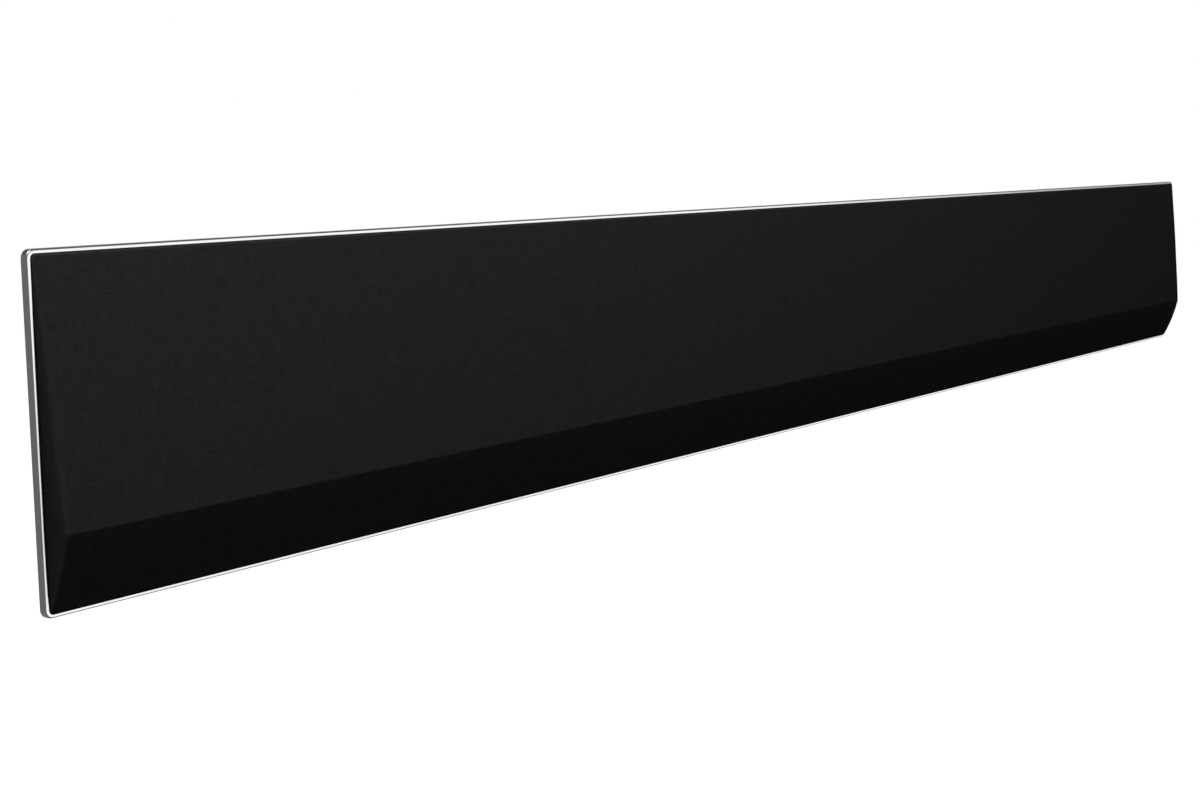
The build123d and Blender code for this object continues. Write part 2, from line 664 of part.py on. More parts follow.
def make_tweeter_body(x):
    y_face = Y_BAFFLE_FRONT - TWEETER_PLATE_THICK
    plate = slab(clipped(TWEETER_PLATE, TWEETER_PLATE, TWEETER_CORNER), Y_BAFFLE_FRONT, y_face, x, WOOFER_Z)
    can = slab(square(TWEETER_CAN), Y_BAFFLE_FRONT + TWEETER_CAN_DEPTH, Y_BAFFLE_FRONT, x, WOOFER_Z)
    pocket = Rectangle(RIBBON_WIDTH + 2 * RIBBON_GAP, RIBBON_HEIGHT + 2 * RIBBON_GAP)
    return plate + can - slab(pocket, y_face + POCKET_DEPTH, y_face, x, WOOFER_Z)


def make_tweeter_ribbon(x):
    """Pleated strip that lies on the floor of the tweeter's pocket."""
    y_floor = Y_BAFFLE_FRONT - TWEETER_PLATE_THICK + POCKET_DEPTH
    return column(pleats(RIBBON_WIDTH, -RIBBON_FOLD, RIBBON_FOLDS, -RIBBON_THICK),
                  WOOFER_Z - RIBBON_HEIGHT / 2, WOOFER_Z + RIBBON_HEIGHT / 2, x, y_floor)


def make_main_board():
    return block((BOARD_LEFT, BOARD_RIGHT), (Y_BOARD_FRONT, Y_BOARD_BACK), (Z_BOARD_FOOT, Z_BOARD_TOP))


def make_heat_sink():
    z_span = around(Z_BOARD_TOP - TOP_ROW_EDGE - SINK_HEIGHT / 2, SINK_HEIGHT)
    base = block(around(BAY_CENTRE, SINK_WIDTH), (Y_BOARD_BACK, Y_BOARD_BACK + SINK_BASE), z_span)
    pitch = (SINK_WIDTH - FIN_THICK) / (FIN_COUNT - 1)
    fins = [block(around(BAY_CENTRE + (i - (FIN_COUNT - 1) / 2) * pitch, FIN_THICK),
                  (Y_BOARD_BACK + SINK_BASE, Y_BOARD_BACK + SINK_DEPTH), z_span) for i in range(FIN_COUNT)]
    return base + fins


def make_capacitors():
    z_top = Z_BOARD_TOP - TOP_ROW_EDGE
    cans = []
    for i in range(CAPACITOR_COUNT):
        x = BAY_CENTRE + CAPACITOR_PLACE + i * CAPACITOR_PITCH
        cans.append(block(around(x, CAPACITOR_WIDTH), (Y_BOARD_BACK, Y_BOARD_BACK + CAPACITOR_DEPTH),
                          (z_top - CAPACITOR_LENGTH, z_top)))
    return group(cans)


def make_wireless_module():
    x_span = around(BAY_CENTRE + MODULE_PLACE, MODULE_WIDTH)
    z_span = around(Z_BOARD_TOP - TOP_ROW_EDGE - SINK_HEIGHT / 2, MODULE_HEIGHT)
    return block(x_span, (Y_BOARD_BACK, Y_BOARD_BACK + MODULE_THICK), z_span)


def socket_body(name):
    x, width, depth = sockets()[name]
    return block(around(x, width), (Y_BOARD_BACK, Y_BOARD_BACK + depth),
                 (Z_BAY_TOP, Z_BAY_TOP + SOCKET_LENGTH))


def make_round_jack(name, bore_r, pin_r):
    x, width, depth = sockets()[name]
    y = Y_BOARD_BACK + depth / 2
    jack = socket_body(name) - column(Circle(bore_r), Z_BAY_TOP, Z_BAY_TOP + SOCKET_DROP, x, y)
    if pin_r:
        jack = jack + column(Circle(pin_r), Z_BAY_TOP + TONGUE_SETBACK, Z_BAY_TOP + SOCKET_DROP, x, y)
    return jack


def make_flat_jack(name, shell, tongue):
    x, width, depth = sockets()[name]
    y = Y_BOARD_BACK + depth / 2
    mouth = block(around(x, width - 2 * shell), around(y, depth - 2 * shell),
                  (Z_BAY_TOP, Z_BAY_TOP + SOCKET_DROP))
    blade = block(around(x, width - 2 * shell - 2 * TONGUE_SIDE_GAP), around(y, tongue),
                  (Z_BAY_TOP + TONGUE_SETBACK, Z_BAY_TOP + SOCKET_DROP))
    return socket_body(name) - mouth + blade


def button_places():
    centre = HALF_W - BUTTON_END_OFFSET
    names = ("power", "source", "volume_down", "volume_up")
    first = centre - (len(names) - 1) / 2 * BUTTON_PITCH
    return {name: first + i * BUTTON_PITCH for i, name in enumerate(names)}


def button_board_span():
    places = list(button_places().values())
    reach = BUTTON_WIDTH / 2 + BUTTON_FLANGE + BUTTON_BOARD_MARGIN
    return (places[0] - reach, places[-1] + reach)


def button_posts():
    """Two posts of the rear cover that the button board rests on."""
    low, high = button_board_span()
    return [block(span, around(Y_BUTTON, BUTTON_BOARD_DEPTH), (Z_COVER_SOLE, Z_BUTTON_BOARD))
            for span in ((low, low + BUTTON_POST), (high - BUTTON_POST, high))]


def make_button(x):
    outline = clipped(BUTTON_WIDTH, BUTTON_DEPTH, BUTTON_CORNER)
    flange = Rectangle(BUTTON_WIDTH + 2 * BUTTON_FLANGE, BUTTON_DEPTH + 2 * BUTTON_FLANGE)
    z_low = -COVER_HALF_H - BUTTON_PROUD
    z_flange_top = Z_BUTTON_FLANGE + BUTTON_FLANGE_THICK
    cap = column(outline, z_low, Z_BUTTON_FLANGE, x, Y_BUTTON)
    lip = column(flange, Z_BUTTON_FLANGE, z_flange_top, x, Y_BUTTON)
    stem = column(Rectangle(BUTTON_STEM, BUTTON_STEM), z_flange_top, Z_STEM_TOP, x, Y_BUTTON)
    return cap + lip + stem


def make_button_board():
    board = block(button_board_span(), around(Y_BUTTON, BUTTON_BOARD_DEPTH),
                  (Z_BUTTON_BOARD, Z_BUTTON_BOARD + BUTTON_BOARD_THICK))
    switches = [block(around(x, SWITCH_SIZE), around(Y_BUTTON, SWITCH_SIZE),
                      (Z_BUTTON_BOARD - SWITCH_HEIGHT, Z_BUTTON_BOARD)) for x in button_places().values()]
    return board + switches


def make_light_board():
    y_face = Y_BAFFLE_FRONT - LIGHT_BOARD_THICK
    board = block(around(LIGHT_PLACE, LIGHT_BOARD_WIDTH), (y_face, Y_BAFFLE_FRONT),
                  around(LIGHT_Z, LIGHT_BOARD_HEIGHT))
    first = LIGHT_PLACE + LIGHT_SHIFT - (LIGHT_COUNT - 1) / 2 * LIGHT_PITCH
    lights = [block(around(first + i * LIGHT_PITCH, LIGHT_SIZE), (y_face - LIGHT_TALL, y_face),
                    around(LIGHT_Z, LIGHT_SIZE)) for i in range(LIGHT_COUNT)]
    return board + lights


def make_light_pipe():
    y_face = Y_BAFFLE_FRONT - LIGHT_BOARD_THICK
    half = (LIGHT_COUNT - 1) / 2 * LIGHT_PITCH + LIGHT_SIZE / 2 + PIPE_END
    x = LIGHT_PLACE + LIGHT_SHIFT
    bar = block((x - half, x + half), (y_face - PIPE_LENGTH, y_face), around(LIGHT_Z, PIPE_HEIGHT))
    hollow = block((x - half + PIPE_FOOT, x + half - PIPE_FOOT), (y_face - LIGHT_TALL - PIPE_FIT, y_face),
                   around(LIGHT_Z, PIPE_HEIGHT))
    return bar - hollow


def make_remote_receiver():
    y_face = Y_BAFFLE_FRONT - LIGHT_BOARD_THICK
    x = LIGHT_PLACE + RECEIVER_SHIFT
    body = block(around(x, RECEIVER_WIDTH), (y_face - RECEIVER_DEPTH, y_face),
                 around(LIGHT_Z, RECEIVER_HEIGHT))
    lens = column(Circle(LENS_R), LIGHT_Z - RECEIVER_HEIGHT / 2, LIGHT_Z + RECEIVER_HEIGHT / 2,
                  x, y_face - RECEIVER_DEPTH)
    return body + lens


def make_lead(points):
    """Flat twin lead that lies on the back of the baffle, along points given as (x, z)."""
    path = FilletPolyline(*points, radius=LEAD_BEND)
    return slab(trace(path, LEAD_WIDTH), Y_BAFFLE_BACK + LEAD_THICK, Y_BAFFLE_BACK)


def lead_routes():
    """Leads from the main board to the woofers' legs, and on to the tweeters."""
    z_leg = WOOFER_Z + OPENING_HEIGHT / 2 + LEG_THICK + LEAD_END_GAP
    z_can = WOOFER_Z + TWEETER_CAN / 2 + LEAD_END_GAP
    routes = {}
    for name, side, board_edge in (("left", -1, BOARD_LEFT), ("right", 1, BOARD_RIGHT)):
        x_near = side * (WOOFER_X - LEG_PLACE)
        x_far = side * (WOOFER_X + LEG_PLACE)
        x_can = side * TWEETER_X
        routes[f"lead_woofer_{name}"] = [(board_edge + side * LEAD_END_GAP, LEAD_Z), (x_near, LEAD_Z),
                                         (x_near, z_leg)]
        routes[f"lead_tweeter_{name}"] = [(x_far, z_leg), (x_far, LEAD_Z), (x_can, LEAD_Z), (x_can, z_can)]
    return routes


os.makedirs("parts", exist_ok=True)
save("trim_frame", make_trim_frame())
save("grille_cloth", make_grille_cloth())
save("grille_frame", make_grille_frame())
save("rear_cover", make_rear_cover())
save("gasket", make_gasket())
save("wall_pads", make_wall_pads())
save("wall_inserts", make_wall_inserts())
save("rear_cover_screws", make_cover_screws())
save("baffle", make_baffle())
for place, x in WOOFER_PLACES.items():
    save(f"woofer_{place}_basket", make_basket(x))
    save(f"woofer_{place}_yoke", make_yoke(x))
    save(f"woofer_{place}_magnet", make_magnet(x))
    save(f"woofer_{place}_voice_coil", make_coil(x))
    save(f"woofer_{place}_diaphragm", make_diaphragm(x))
    save(f"woofer_{place}_surround", make_surround(x))
    save(f"woofer_{place}_spider", make_spider(x))
for place, x in TWEETER_PLACES.items():
    save(f"tweeter_{place}_body", make_tweeter_body(x))
    save(f"tweeter_{place}_ribbon", make_tweeter_ribbon(x))
save("main_board", make_main_board())
save("heat_sink", make_heat_sink())
save("capacitors", make_capacitors())
save("wireless_module", make_wireless_module())
save("power_jack", make_round_jack("power_jack", POWER_BORE_R, POWER_PIN_R))
save("line_jack", make_round_jack("line_jack", LINE_BORE_R, 0))
save("av_jack", make_flat_jack("av_jack", AV_SHELL, AV_TONGUE))
save("data_jack", make_flat_jack("data_jack", DATA_SHELL, DATA_TONGUE))
save("button_board", make_button_board())
for name, x in button_places().items():
    save(f"{name}_button", make_button(x))
save("light_board", make_light_board())
save("light_pipe", make_light_pipe())
save("remote_receiver", make_remote_receiver())
for name, points in lead_routes().items():
    save(name, make_lead(points))
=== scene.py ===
# %% [markdown]
# # A slim wall-hung soundbar
# The bar is a long, thin box. Black cloth is stretched over a wedge-shaped grille, a thin silver frame runs
# round it, and a moulded cover closes the back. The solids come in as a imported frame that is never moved.
# This lesson dresses them: the cloth, the frame, the cover and the small outer pieces are modelled again
# with finer edges, and every other solid gets a finish of its own.

import json
import math

import bmesh
import bpy
from mathutils import Matrix, Vector


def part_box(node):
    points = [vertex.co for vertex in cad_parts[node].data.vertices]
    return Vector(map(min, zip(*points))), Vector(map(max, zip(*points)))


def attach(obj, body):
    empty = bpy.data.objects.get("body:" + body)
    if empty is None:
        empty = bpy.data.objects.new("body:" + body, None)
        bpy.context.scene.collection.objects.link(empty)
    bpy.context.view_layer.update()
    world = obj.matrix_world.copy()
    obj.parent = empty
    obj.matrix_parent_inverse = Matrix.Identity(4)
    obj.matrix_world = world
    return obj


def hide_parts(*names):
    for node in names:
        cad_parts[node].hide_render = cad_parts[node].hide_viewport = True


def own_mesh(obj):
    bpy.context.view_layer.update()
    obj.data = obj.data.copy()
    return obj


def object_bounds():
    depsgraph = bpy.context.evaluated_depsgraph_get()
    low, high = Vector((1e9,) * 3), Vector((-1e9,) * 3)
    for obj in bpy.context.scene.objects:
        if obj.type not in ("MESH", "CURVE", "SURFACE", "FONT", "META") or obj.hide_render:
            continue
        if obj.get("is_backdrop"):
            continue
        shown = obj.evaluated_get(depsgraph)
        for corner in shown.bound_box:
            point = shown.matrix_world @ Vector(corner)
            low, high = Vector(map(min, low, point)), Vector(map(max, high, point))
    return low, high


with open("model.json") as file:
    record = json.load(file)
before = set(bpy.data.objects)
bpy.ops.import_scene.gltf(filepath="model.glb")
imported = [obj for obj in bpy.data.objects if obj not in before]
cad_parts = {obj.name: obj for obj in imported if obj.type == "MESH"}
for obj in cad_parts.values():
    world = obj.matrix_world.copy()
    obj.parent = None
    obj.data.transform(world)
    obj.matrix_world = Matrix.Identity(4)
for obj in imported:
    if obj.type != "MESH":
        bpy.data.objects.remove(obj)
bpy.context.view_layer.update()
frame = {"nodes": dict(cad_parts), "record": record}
solids = frame["nodes"]
scene = bpy.context.scene
MM = 0.001

# %% [markdown]
# ## Camera
# The bar was seen from its left end, a little above its top edge. A camera could be placed by eye, but the
# straight edges of the trim frame fix it well: their vanishing points give the turn, the tilt and the lens.
# The picture was cropped above the lens's own centre, so the view is shifted up as well.

# %% Camera
CAMERA_PLACE = Vector((-1.2888, -0.6525, 0.1189))
CAMERA_TURN = math.radians(57.246)
CAMERA_TILT = math.radians(11.445)
LENS_MM = 61.81
SENSOR_MM = 36.0
SHIFT_UP = 0.1272
NEAR_CLIP = 0.02
FAR_CLIP = 200.0

aim = Vector((
    math.sin(CAMERA_TURN) * math.cos(CAMERA_TILT),
    math.cos(CAMERA_TURN) * math.cos(CAMERA_TILT),
    -math.sin(CAMERA_TILT),
))
camera_data = bpy.data.cameras.new("camera")
camera_data.lens = LENS_MM
camera_data.sensor_width = SENSOR_MM
camera_data.shift_y = SHIFT_UP
camera_data.clip_start = NEAR_CLIP
camera_data.clip_end = FAR_CLIP
camera = bpy.data.objects.new("camera", camera_data)
camera.location = CAMERA_PLACE
camera.rotation_mode = "QUATERNION"
camera.rotation_quaternion = aim.to_track_quat("-Z", "Y")
scene.collection.objects.link(camera)
scene.camera = camera
print(f"camera looks along {tuple(round(v, 3) for v in aim)}")

# %% [markdown]
# ## Material helpers
# A finish is a Principled shader whose colour, roughness and bump come from textures in the object's own
# coordinates, so they stay on the piece when it moves. Numbers that are the same all over go straight on
# the shader's sockets. These small helpers keep each finish to a few lines.

# %% Node helpers
class Nodes:
    """A node tree with short ways to add nodes, link them and calculate."""

    def __init__(self, tree):
        self.tree = tree

    def add(self, kind, **settings):
        node = self.tree.nodes.new(kind)
        for key, value in settings.items():
            setattr(node, key, value)
        return node

    def link(self, source, target):
        self.tree.links.new(source, target)

    def math(self, operation, *values):
        node = self.add("ShaderNodeMath", operation=operation)
        for socket, value in zip(node.inputs, values):
            if isinstance(value, (int, float)):
                socket.default_value = value
            else:
                self.link(value, socket)
        return node.outputs["Value"]

    def span(self, value, before, after, curve="LINEAR"):
        """Maps a value from one range to another and keeps it within the second."""
        node = self.add("ShaderNodeMapRange", interpolation_type=curve)
        for name, limit in zip(("From Min", "From Max", "To Min", "To Max"), (*before, *after)):
            node.inputs[name].default_value = limit
        self.link(value, node.inputs["Value"])
        return node.outputs["Result"]


print("node helpers ready")

# %% Finishes
UNSTRETCHED = (1.0, 1.0, 1.0)


class Finish(Nodes):
    """A new Principled material."""

    def __init__(self, name, roughness, metallic=0.0, specular=0.5):
        self.material = bpy.data.materials.new(name)
        self.material.use_nodes = True
        super().__init__(self.material.node_tree)
        self.shader = self.tree.nodes["Principled BSDF"]
        self.shader.inputs["Roughness"].default_value = roughness
        self.shader.inputs["Metallic"].default_value = metallic
        self.shader.inputs["Specular IOR Level"].default_value = specular

    def place(self, stretch=UNSTRETCHED, space="Object"):
        """Coordinates of the piece, stretched along its axes."""
        coordinates = self.add("ShaderNodeTexCoord")
        mapping = self.add("ShaderNodeMapping")
        mapping.inputs["Scale"].default_value = stretch
        self.link(coordinates.outputs[space], mapping.inputs["Vector"])
        return mapping.outputs["Vector"]

    def speckle(self, size, detail=3.0, stretch=UNSTRETCHED, space="Object"):
        """Cloudy noise whose grains are about size metres across."""
        noise = self.add("ShaderNodeTexNoise")
        noise.inputs["Scale"].default_value = 1.0 / size
        noise.inputs["Detail"].default_value = detail
        self.link(self.place(stretch, space), noise.inputs["Vector"])
        return noise.outputs["Fac"]

    def colours(self, factor, low, high, start=0.3, stop=0.7):
        """Base colour that runs from low to high with a texture."""
        ramp = self.add("ShaderNodeValToRGB")
        for element, position, colour in zip(ramp.color_ramp.elements, (start, stop), (low, high)):
            element.position = position
            element.color = (*colour, 1.0)
        self.link(factor, ramp.inputs["Fac"])
        self.link(ramp.outputs["Color"], self.shader.inputs["Base Color"])

    def roughness(self, factor, low, high):
        self.link(self.span(factor, (0.0, 1.0), (low, high)), self.shader.inputs["Roughness"])

    def bump(self, height, depth, strength=0.6):
        """Raised grain, depth metres high."""
        bump = self.add("ShaderNodeBump")
        bump.inputs["Strength"].default_value = strength
        bump.inputs["Distance"].default_value = depth
        self.link(height, bump.inputs["Height"])
        self.link(bump.outputs["Normal"], self.shader.inputs["Normal"])


finishes = {}
print("finish helpers ready")

# %% [markdown]
# ## Acoustic cloth
# The front is a black plain weave that sound passes through. Threads about 0.7 mm apart rise and dip over
# each other. A picture of cloth could be tiled over it, but two sine waves multiplied together give the same
# over-and-under height exactly, and they stay sharp close up. Real threads are uneven, so noise drawn out
# along both directions adds slubs. The weave reads the cloth's own flat coordinates, so it turns with the
# cloth round the ends of the bar. Black cloth like this has no sheen, so its specular level is zero.

# %% Acoustic cloth
THREAD_PITCH = 0.7 * MM
THREAD_RELIEF = 0.10 * MM
WEAVE_SHARE = 0.25
SLUB_SHARE = 0.8
SLUB_STRETCH = 0.07


def weave_height(finish, pitch, space="UV", axes=("X", "Y")):
    """Height of a plain weave: threads that pass over and under each other."""
    split = finish.add("ShaderNodeSeparateXYZ")
    finish.link(finish.place(space=space), split.inputs["Vector"])
    waves = []
    for axis in axes:
        phase = finish.math("MULTIPLY", split.outputs[axis], math.pi / pitch)
        waves.append(finish.math("SINE", phase))
    crossing = finish.math("MULTIPLY", *waves)
    return finish.math("MULTIPLY_ADD", crossing, 0.5, 0.5)


def cloth_finish():
    finish = Finish("acoustic_cloth", roughness=1.0, specular=0.0)
    height = weave_height(finish, THREAD_PITCH)
    slubs = [
        finish.speckle(THREAD_PITCH, detail=2.0, stretch=stretch, space="UV")
        for stretch in ((SLUB_STRETCH, 1.0, 1.0), (1.0, SLUB_STRETCH, 1.0))
    ]
    threads = finish.math("MULTIPLY", finish.math("ADD", *slubs), SLUB_SHARE)
    mixed = finish.math("MULTIPLY_ADD", height, WEAVE_SHARE, threads)
    finish.colours(mixed, (0.0085, 0.0085, 0.0086), (0.0157, 0.0157, 0.0158), start=0.55, stop=1.0)
    finish.bump(mixed, THREAD_RELIEF, strength=0.35)
    return finish.material


finishes["front_cloth"] = cloth_finish()
print("made the acoustic cloth")

# %% [markdown]
# ## Trim metal
# The frame is satin silver metal with fine grinding lines. Its sides get a dark grey copy of that silver,
# which is painted shade for the darker tone they show. The narrow front lip keeps a bright silver, so it
# mirrors the pale room. Both are metals; only colour and roughness differ, so one recipe makes them.

# %% Trim metal
GRAIN_WIDTH = 0.25 * MM
GRAIN_DEPTH = 0.004 * MM
GLOSS_SPREAD = 0.15
ALONG_BAR = (0.02, 1.0, 1.0)


def metal_finish(name, dark, light, roughness, stretch=UNSTRETCHED):
    finish = Finish(name, roughness, metallic=1.0)
    grain = finish.speckle(GRAIN_WIDTH, detail=2.0, stretch=stretch)
    finish.colours(grain, dark, light)
    finish.roughness(grain, roughness * (1 - GLOSS_SPREAD), roughness * (1 + GLOSS_SPREAD))
    finish.bump(grain, GRAIN_DEPTH, strength=0.4)
    return finish.material


# The sides' dark grey is painted shade: it is a darker copy of the bright silver that stands for the shade
# the sides show.
finishes["silver_trim"] = metal_finish(
    "satin_trim_painted_shade", (0.105, 0.105, 0.108), (0.150, 0.150, 0.153), 0.38, stretch=ALONG_BAR)
bright_lip = metal_finish(
    "bright_lip", (0.93, 0.93, 0.94), (0.97, 0.97, 0.97), 0.16, stretch=ALONG_BAR)
print("made the satin trim and the bright lip")

# %% [markdown]
# ## Moulded plastics and rubber
# The cover, buttons and sockets are moulded, and their tools were spark-eroded, which leaves a fine pebble
# grain. A tiled picture of it would show seams, so fine noise gives the grain as bump, and broad noise
# varies the gloss a little, as handling does. Foam and rubber are the same recipe with less shine.

# %% Moulded plastics and rubber
HANDLING_SIZE = 60 * MM
HANDLING_GLOSS = 0.07


def moulded_finish(name, dark, light, roughness, grain, depth, specular):
    finish = Finish(name, roughness, specular=specular)
    pebbles = finish.speckle(grain, detail=2.0)
    handling = finish.speckle(HANDLING_SIZE)
    finish.colours(pebbles, dark, light)
    finish.roughness(handling, roughness - HANDLING_GLOSS, roughness + HANDLING_GLOSS)
    finish.bump(pebbles, depth)
    return finish.material


def grey(level):
    """A dark grey that is a trace bluish, as black pigment is."""
    return (level, level, level * 1.03)


MOULDED = {
    # slot: (dark, light, roughness, grain in mm, depth in mm, specular)
    "black_plastic": (grey(0.010), grey(0.016), 0.55, 0.5, 0.02, 0.4),
    "cover_plastic": (grey(0.013), grey(0.022), 0.56, 0.6, 0.035, 0.35),
    "button_plastic": (grey(0.016), grey(0.024), 0.48, 0.35, 0.012, 0.4),
    "jack_plastic": (grey(0.012), grey(0.018), 0.42, 0.4, 0.012, 0.45),
    "component_plastic": (grey(0.014), grey(0.022), 0.30, 0.8, 0.008, 0.5),
    "basket_plastic": (grey(0.022), grey(0.032), 0.60, 0.7, 0.03, 0.35),
    "dish_plastic": (grey(0.040), grey(0.055), 0.50, 1.2, 0.03, 0.4),
    "foam": (grey(0.008), grey(0.018), 0.92, 0.9, 0.15, 0.1),
    "pad_rubber": (grey(0.016), grey(0.028), 0.80, 0.45, 0.03, 0.25),
    "lead_sheath": (grey(0.024), grey(0.034), 0.55, 1.5, 0.02, 0.35),
}
for slot, (dark, light, roughness, grain, depth, specular) in MOULDED.items():
    finishes[slot] = moulded_finish(slot, dark, light, roughness, grain * MM, depth * MM, specular)
print(f"made {len(MOULDED)} moulded finishes")

# %% [markdown]
# ## Plain and banded metals
# Plated steel shells, nickel on the magnets, bare aluminium fins and blackened screws share the recipe of
# the trim. The brass inserts carry a thread and the coils are wound with wire, so both get rings of waves
# along their axis. Cutting real turns into a hole that is 4 mm wide would not show.

# %% Plain metals
METALS = {
    # slot: (dark, light, roughness)
    "plated_steel": ((0.50, 0.50, 0.51), (0.62, 0.62, 0.63), 0.30),
    "magnet_nickel": ((0.58, 0.56, 0.53), (0.66, 0.64, 0.61), 0.18),
    "bare_aluminium": ((0.60, 0.60, 0.61), (0.74, 0.74, 0.75), 0.34),
    "screw_steel": ((0.055, 0.055, 0.06), (0.10, 0.10, 0.105), 0.34),
}
for slot, (dark, light, roughness) in METALS.items():
    finishes[slot] = metal_finish(slot, dark, light, roughness)
print(f"made {len(METALS)} plain metals")

# %% Banded metals
# The Wave texture multiplies its coordinate by this factor before it takes the sine.
WAVE_FACTOR = 20
BAND_DEPTH_SHARE = 1 / 3
BANDED = {
    # slot: (dark, light, roughness, pitch in mm)
    "insert_brass": ((0.45, 0.32, 0.11), (0.78, 0.60, 0.27), 0.26, 0.7),
    "coil_copper": ((0.42, 0.16, 0.06), (0.78, 0.40, 0.20), 0.30, 0.25),
}


def banded_metal(name, dark, light, roughness, pitch):
    """Metal with rings along Y, as a screw thread or a wound coil has."""
    finish = Finish(name, roughness, metallic=1.0)
    bands = finish.add("ShaderNodeTexWave", wave_type="BANDS", bands_direction="Y")
    bands.inputs["Scale"].default_value = 2 * math.pi / (WAVE_FACTOR * pitch)
    bands.inputs["Distortion"].default_value = 0.3
    finish.link(finish.place(), bands.inputs["Vector"])
    finish.colours(bands.outputs["Fac"], dark, light)
    finish.bump(bands.outputs["Fac"], pitch * BAND_DEPTH_SHARE)
    return finish.material


for slot, (dark, light, roughness, pitch) in BANDED.items():
    finishes[slot] = banded_metal(slot, dark, light, roughness, pitch * MM)
print(f"made {len(BANDED)} banded metals")

# %% [markdown]
# ## Circuit boards, woven spider and clear plastic
# The boards are green solder mask over copper tracks, which show as faint straight bands. The spider is
# amber resin-treated cloth, and the light pipe is frosted clear plastic. They are hidden in the closed bar,
# so one texture each is enough: bricks for the tracks, the plain weave again, and soft noise for the frost.

# %% Circuit boards, woven spider and clear plastic
TRACKS = {"Scale": 120.0, "Mortar Size": 0.06, "Mortar Smooth": 0.2, "Bias": 0.0}
TRACK_HEIGHT = 0.03 * MM
SPIDER_PITCH = 0.5 * MM
SPIDER_RELIEF = 0.08 * MM
FROST_SIZE = 1.5 * MM
FROST_DEPTH = 0.01 * MM


def board_finish():
    finish = Finish("circuit_board", 0.38, specular=0.45)
    tracks = finish.add("ShaderNodeTexBrick")
    for name, value in TRACKS.items():
        tracks.inputs[name].default_value = value
    finish.link(finish.place(), tracks.inputs["Vector"])
    finish.colours(tracks.outputs["Fac"], (0.012, 0.085, 0.035), (0.035, 0.16, 0.065), start=0.0, stop=1.0)
    finish.bump(tracks.outputs["Fac"], TRACK_HEIGHT)
    return finish.material


def spider_finish():
    finish = Finish("spider_cloth", 0.85, specular=0.2)
    height = weave_height(finish, SPIDER_PITCH, space="Object", axes=("X", "Z"))
    finish.colours(height, (0.30, 0.19, 0.07), (0.56, 0.40, 0.18), start=0.1, stop=0.9)
    finish.bump(height, SPIDER_RELIEF)
    return finish.material


def clear_finish():
    finish = Finish("clear_plastic", 0.35, specular=0.5)
    finish.shader.inputs["Transmission Weight"].default_value = 0.85
    cloud = finish.speckle(FROST_SIZE)
    finish.colours(cloud, (0.82, 0.84, 0.85), (0.92, 0.93, 0.94))
    finish.bump(cloud, FROST_DEPTH)
    return finish.material


finishes["circuit_board"] = board_finish()
finishes["spider_cloth"] = spider_finish()
finishes["clear_plastic"] = clear_finish()
print("made the boards, the spider cloth and the clear plastic")

# %% Give every solid its finish
for row in frame["record"]["subparts"]:
    skin = solids[row["node"]].data.materials
    skin.clear()
    skin.append(finishes[row["material_slot"]])
print(f"every solid has one of {len(finishes)} finishes")

# %% [markdown]
# ## Turning a bmesh into a piece
# Each new piece is shaped in a bmesh and then becomes an object at the origin, so that its place is in its
# mesh. Faces are smooth, with edges sharper than 35 degrees left crisp. The piece rides on a body of the
# frame and may stand for solids that are then hidden. A few helpers for plates, rounded edges and extrusions
# serve many pieces.

# %% Turning a bmesh into a piece
HOUSING = "housing"
CRISP = math.radians(35)


def make_piece(name, shape, slot, extra=(), body=HOUSING, stands_for=()):
    """An object with the finish of its slot and extra ones for some of its faces."""
    mesh = bpy.data.meshes.new(name)
    shape.to_mesh(mesh)
    shape.free()
    for material in (finishes[slot], *extra):
        mesh.materials.append(material)
    mesh.shade_smooth()
    mesh.set_sharp_from_angle(angle=CRISP)
    piece = bpy.data.objects.new(name, mesh)
    scene.collection.objects.link(piece)
    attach(piece, body)
    if stands_for:
        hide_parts(*stands_for)
    print(f"{name}: {len(mesh.polygons)} faces")
    return piece


print("pieces can be made")

# %% Plates, rounded edges and extrusions
def unique(items):
    """Items without repeats and in their order, so that every run builds the same mesh."""
    return list(dict.fromkeys(items))


def rounded_plate(shape, width, height, corner, segments, centre=(0.0, 0.0, 0.0)):
    """One upright face with rounded corners that looks towards the listener (-Y)."""
    earlier = set(shape.faces)
    corners = bmesh.ops.create_grid(shape, x_segments=1, y_segments=1, size=0.5)["verts"]
    bmesh.ops.scale(shape, vec=(width, height, 1.0), verts=corners)
    bmesh.ops.rotate(shape, matrix=Matrix.Rotation(math.radians(90), 3, "X"), verts=corners)
    bmesh.ops.translate(shape, vec=centre, verts=corners)
    bmesh.ops.bevel(shape, geom=corners, offset=corner, offset_type="OFFSET", segments=segments,
                    profile=0.5, affect="VERTICES", material=-1)
    return [face for face in shape.faces if face not in earlier]


def round_edges(shape, edges, radius, segments=3, material=-1):
    return bmesh.ops.bevel(shape, geom=list(edges), offset=radius, offset_type="OFFSET", segments=segments,
                           profile=0.5, affect="EDGES", material=material)["faces"]


def extruded(shape, edges):
    """Extrudes edges; returns the new points, still to be moved, and the new open edges."""
    made = bmesh.ops.extrude_edge_only(shape, edges=edges)["geom"]
    points = [item for item in made if isinstance(item, bmesh.types.BMVert)]
    rim = [item for item in made if isinstance(item, bmesh.types.BMEdge) and item.is_boundary]
    return points, rim


print("shape helpers ready")

# %% [markdown]
# ## Stretched cloth front
# The real front is one flat piece of cloth pulled over the grille and tucked into the gap behind the silver
# lip. A cloth simulation would only find the shape of the grille again, because the cloth is tight
# everywhere. So the cut is laid flat as one rounded plate, sliced where it has to bend, and each point is
# lifted to the height that the grille gives it. The edge rolls into the gap and goes on backwards as a tuck.

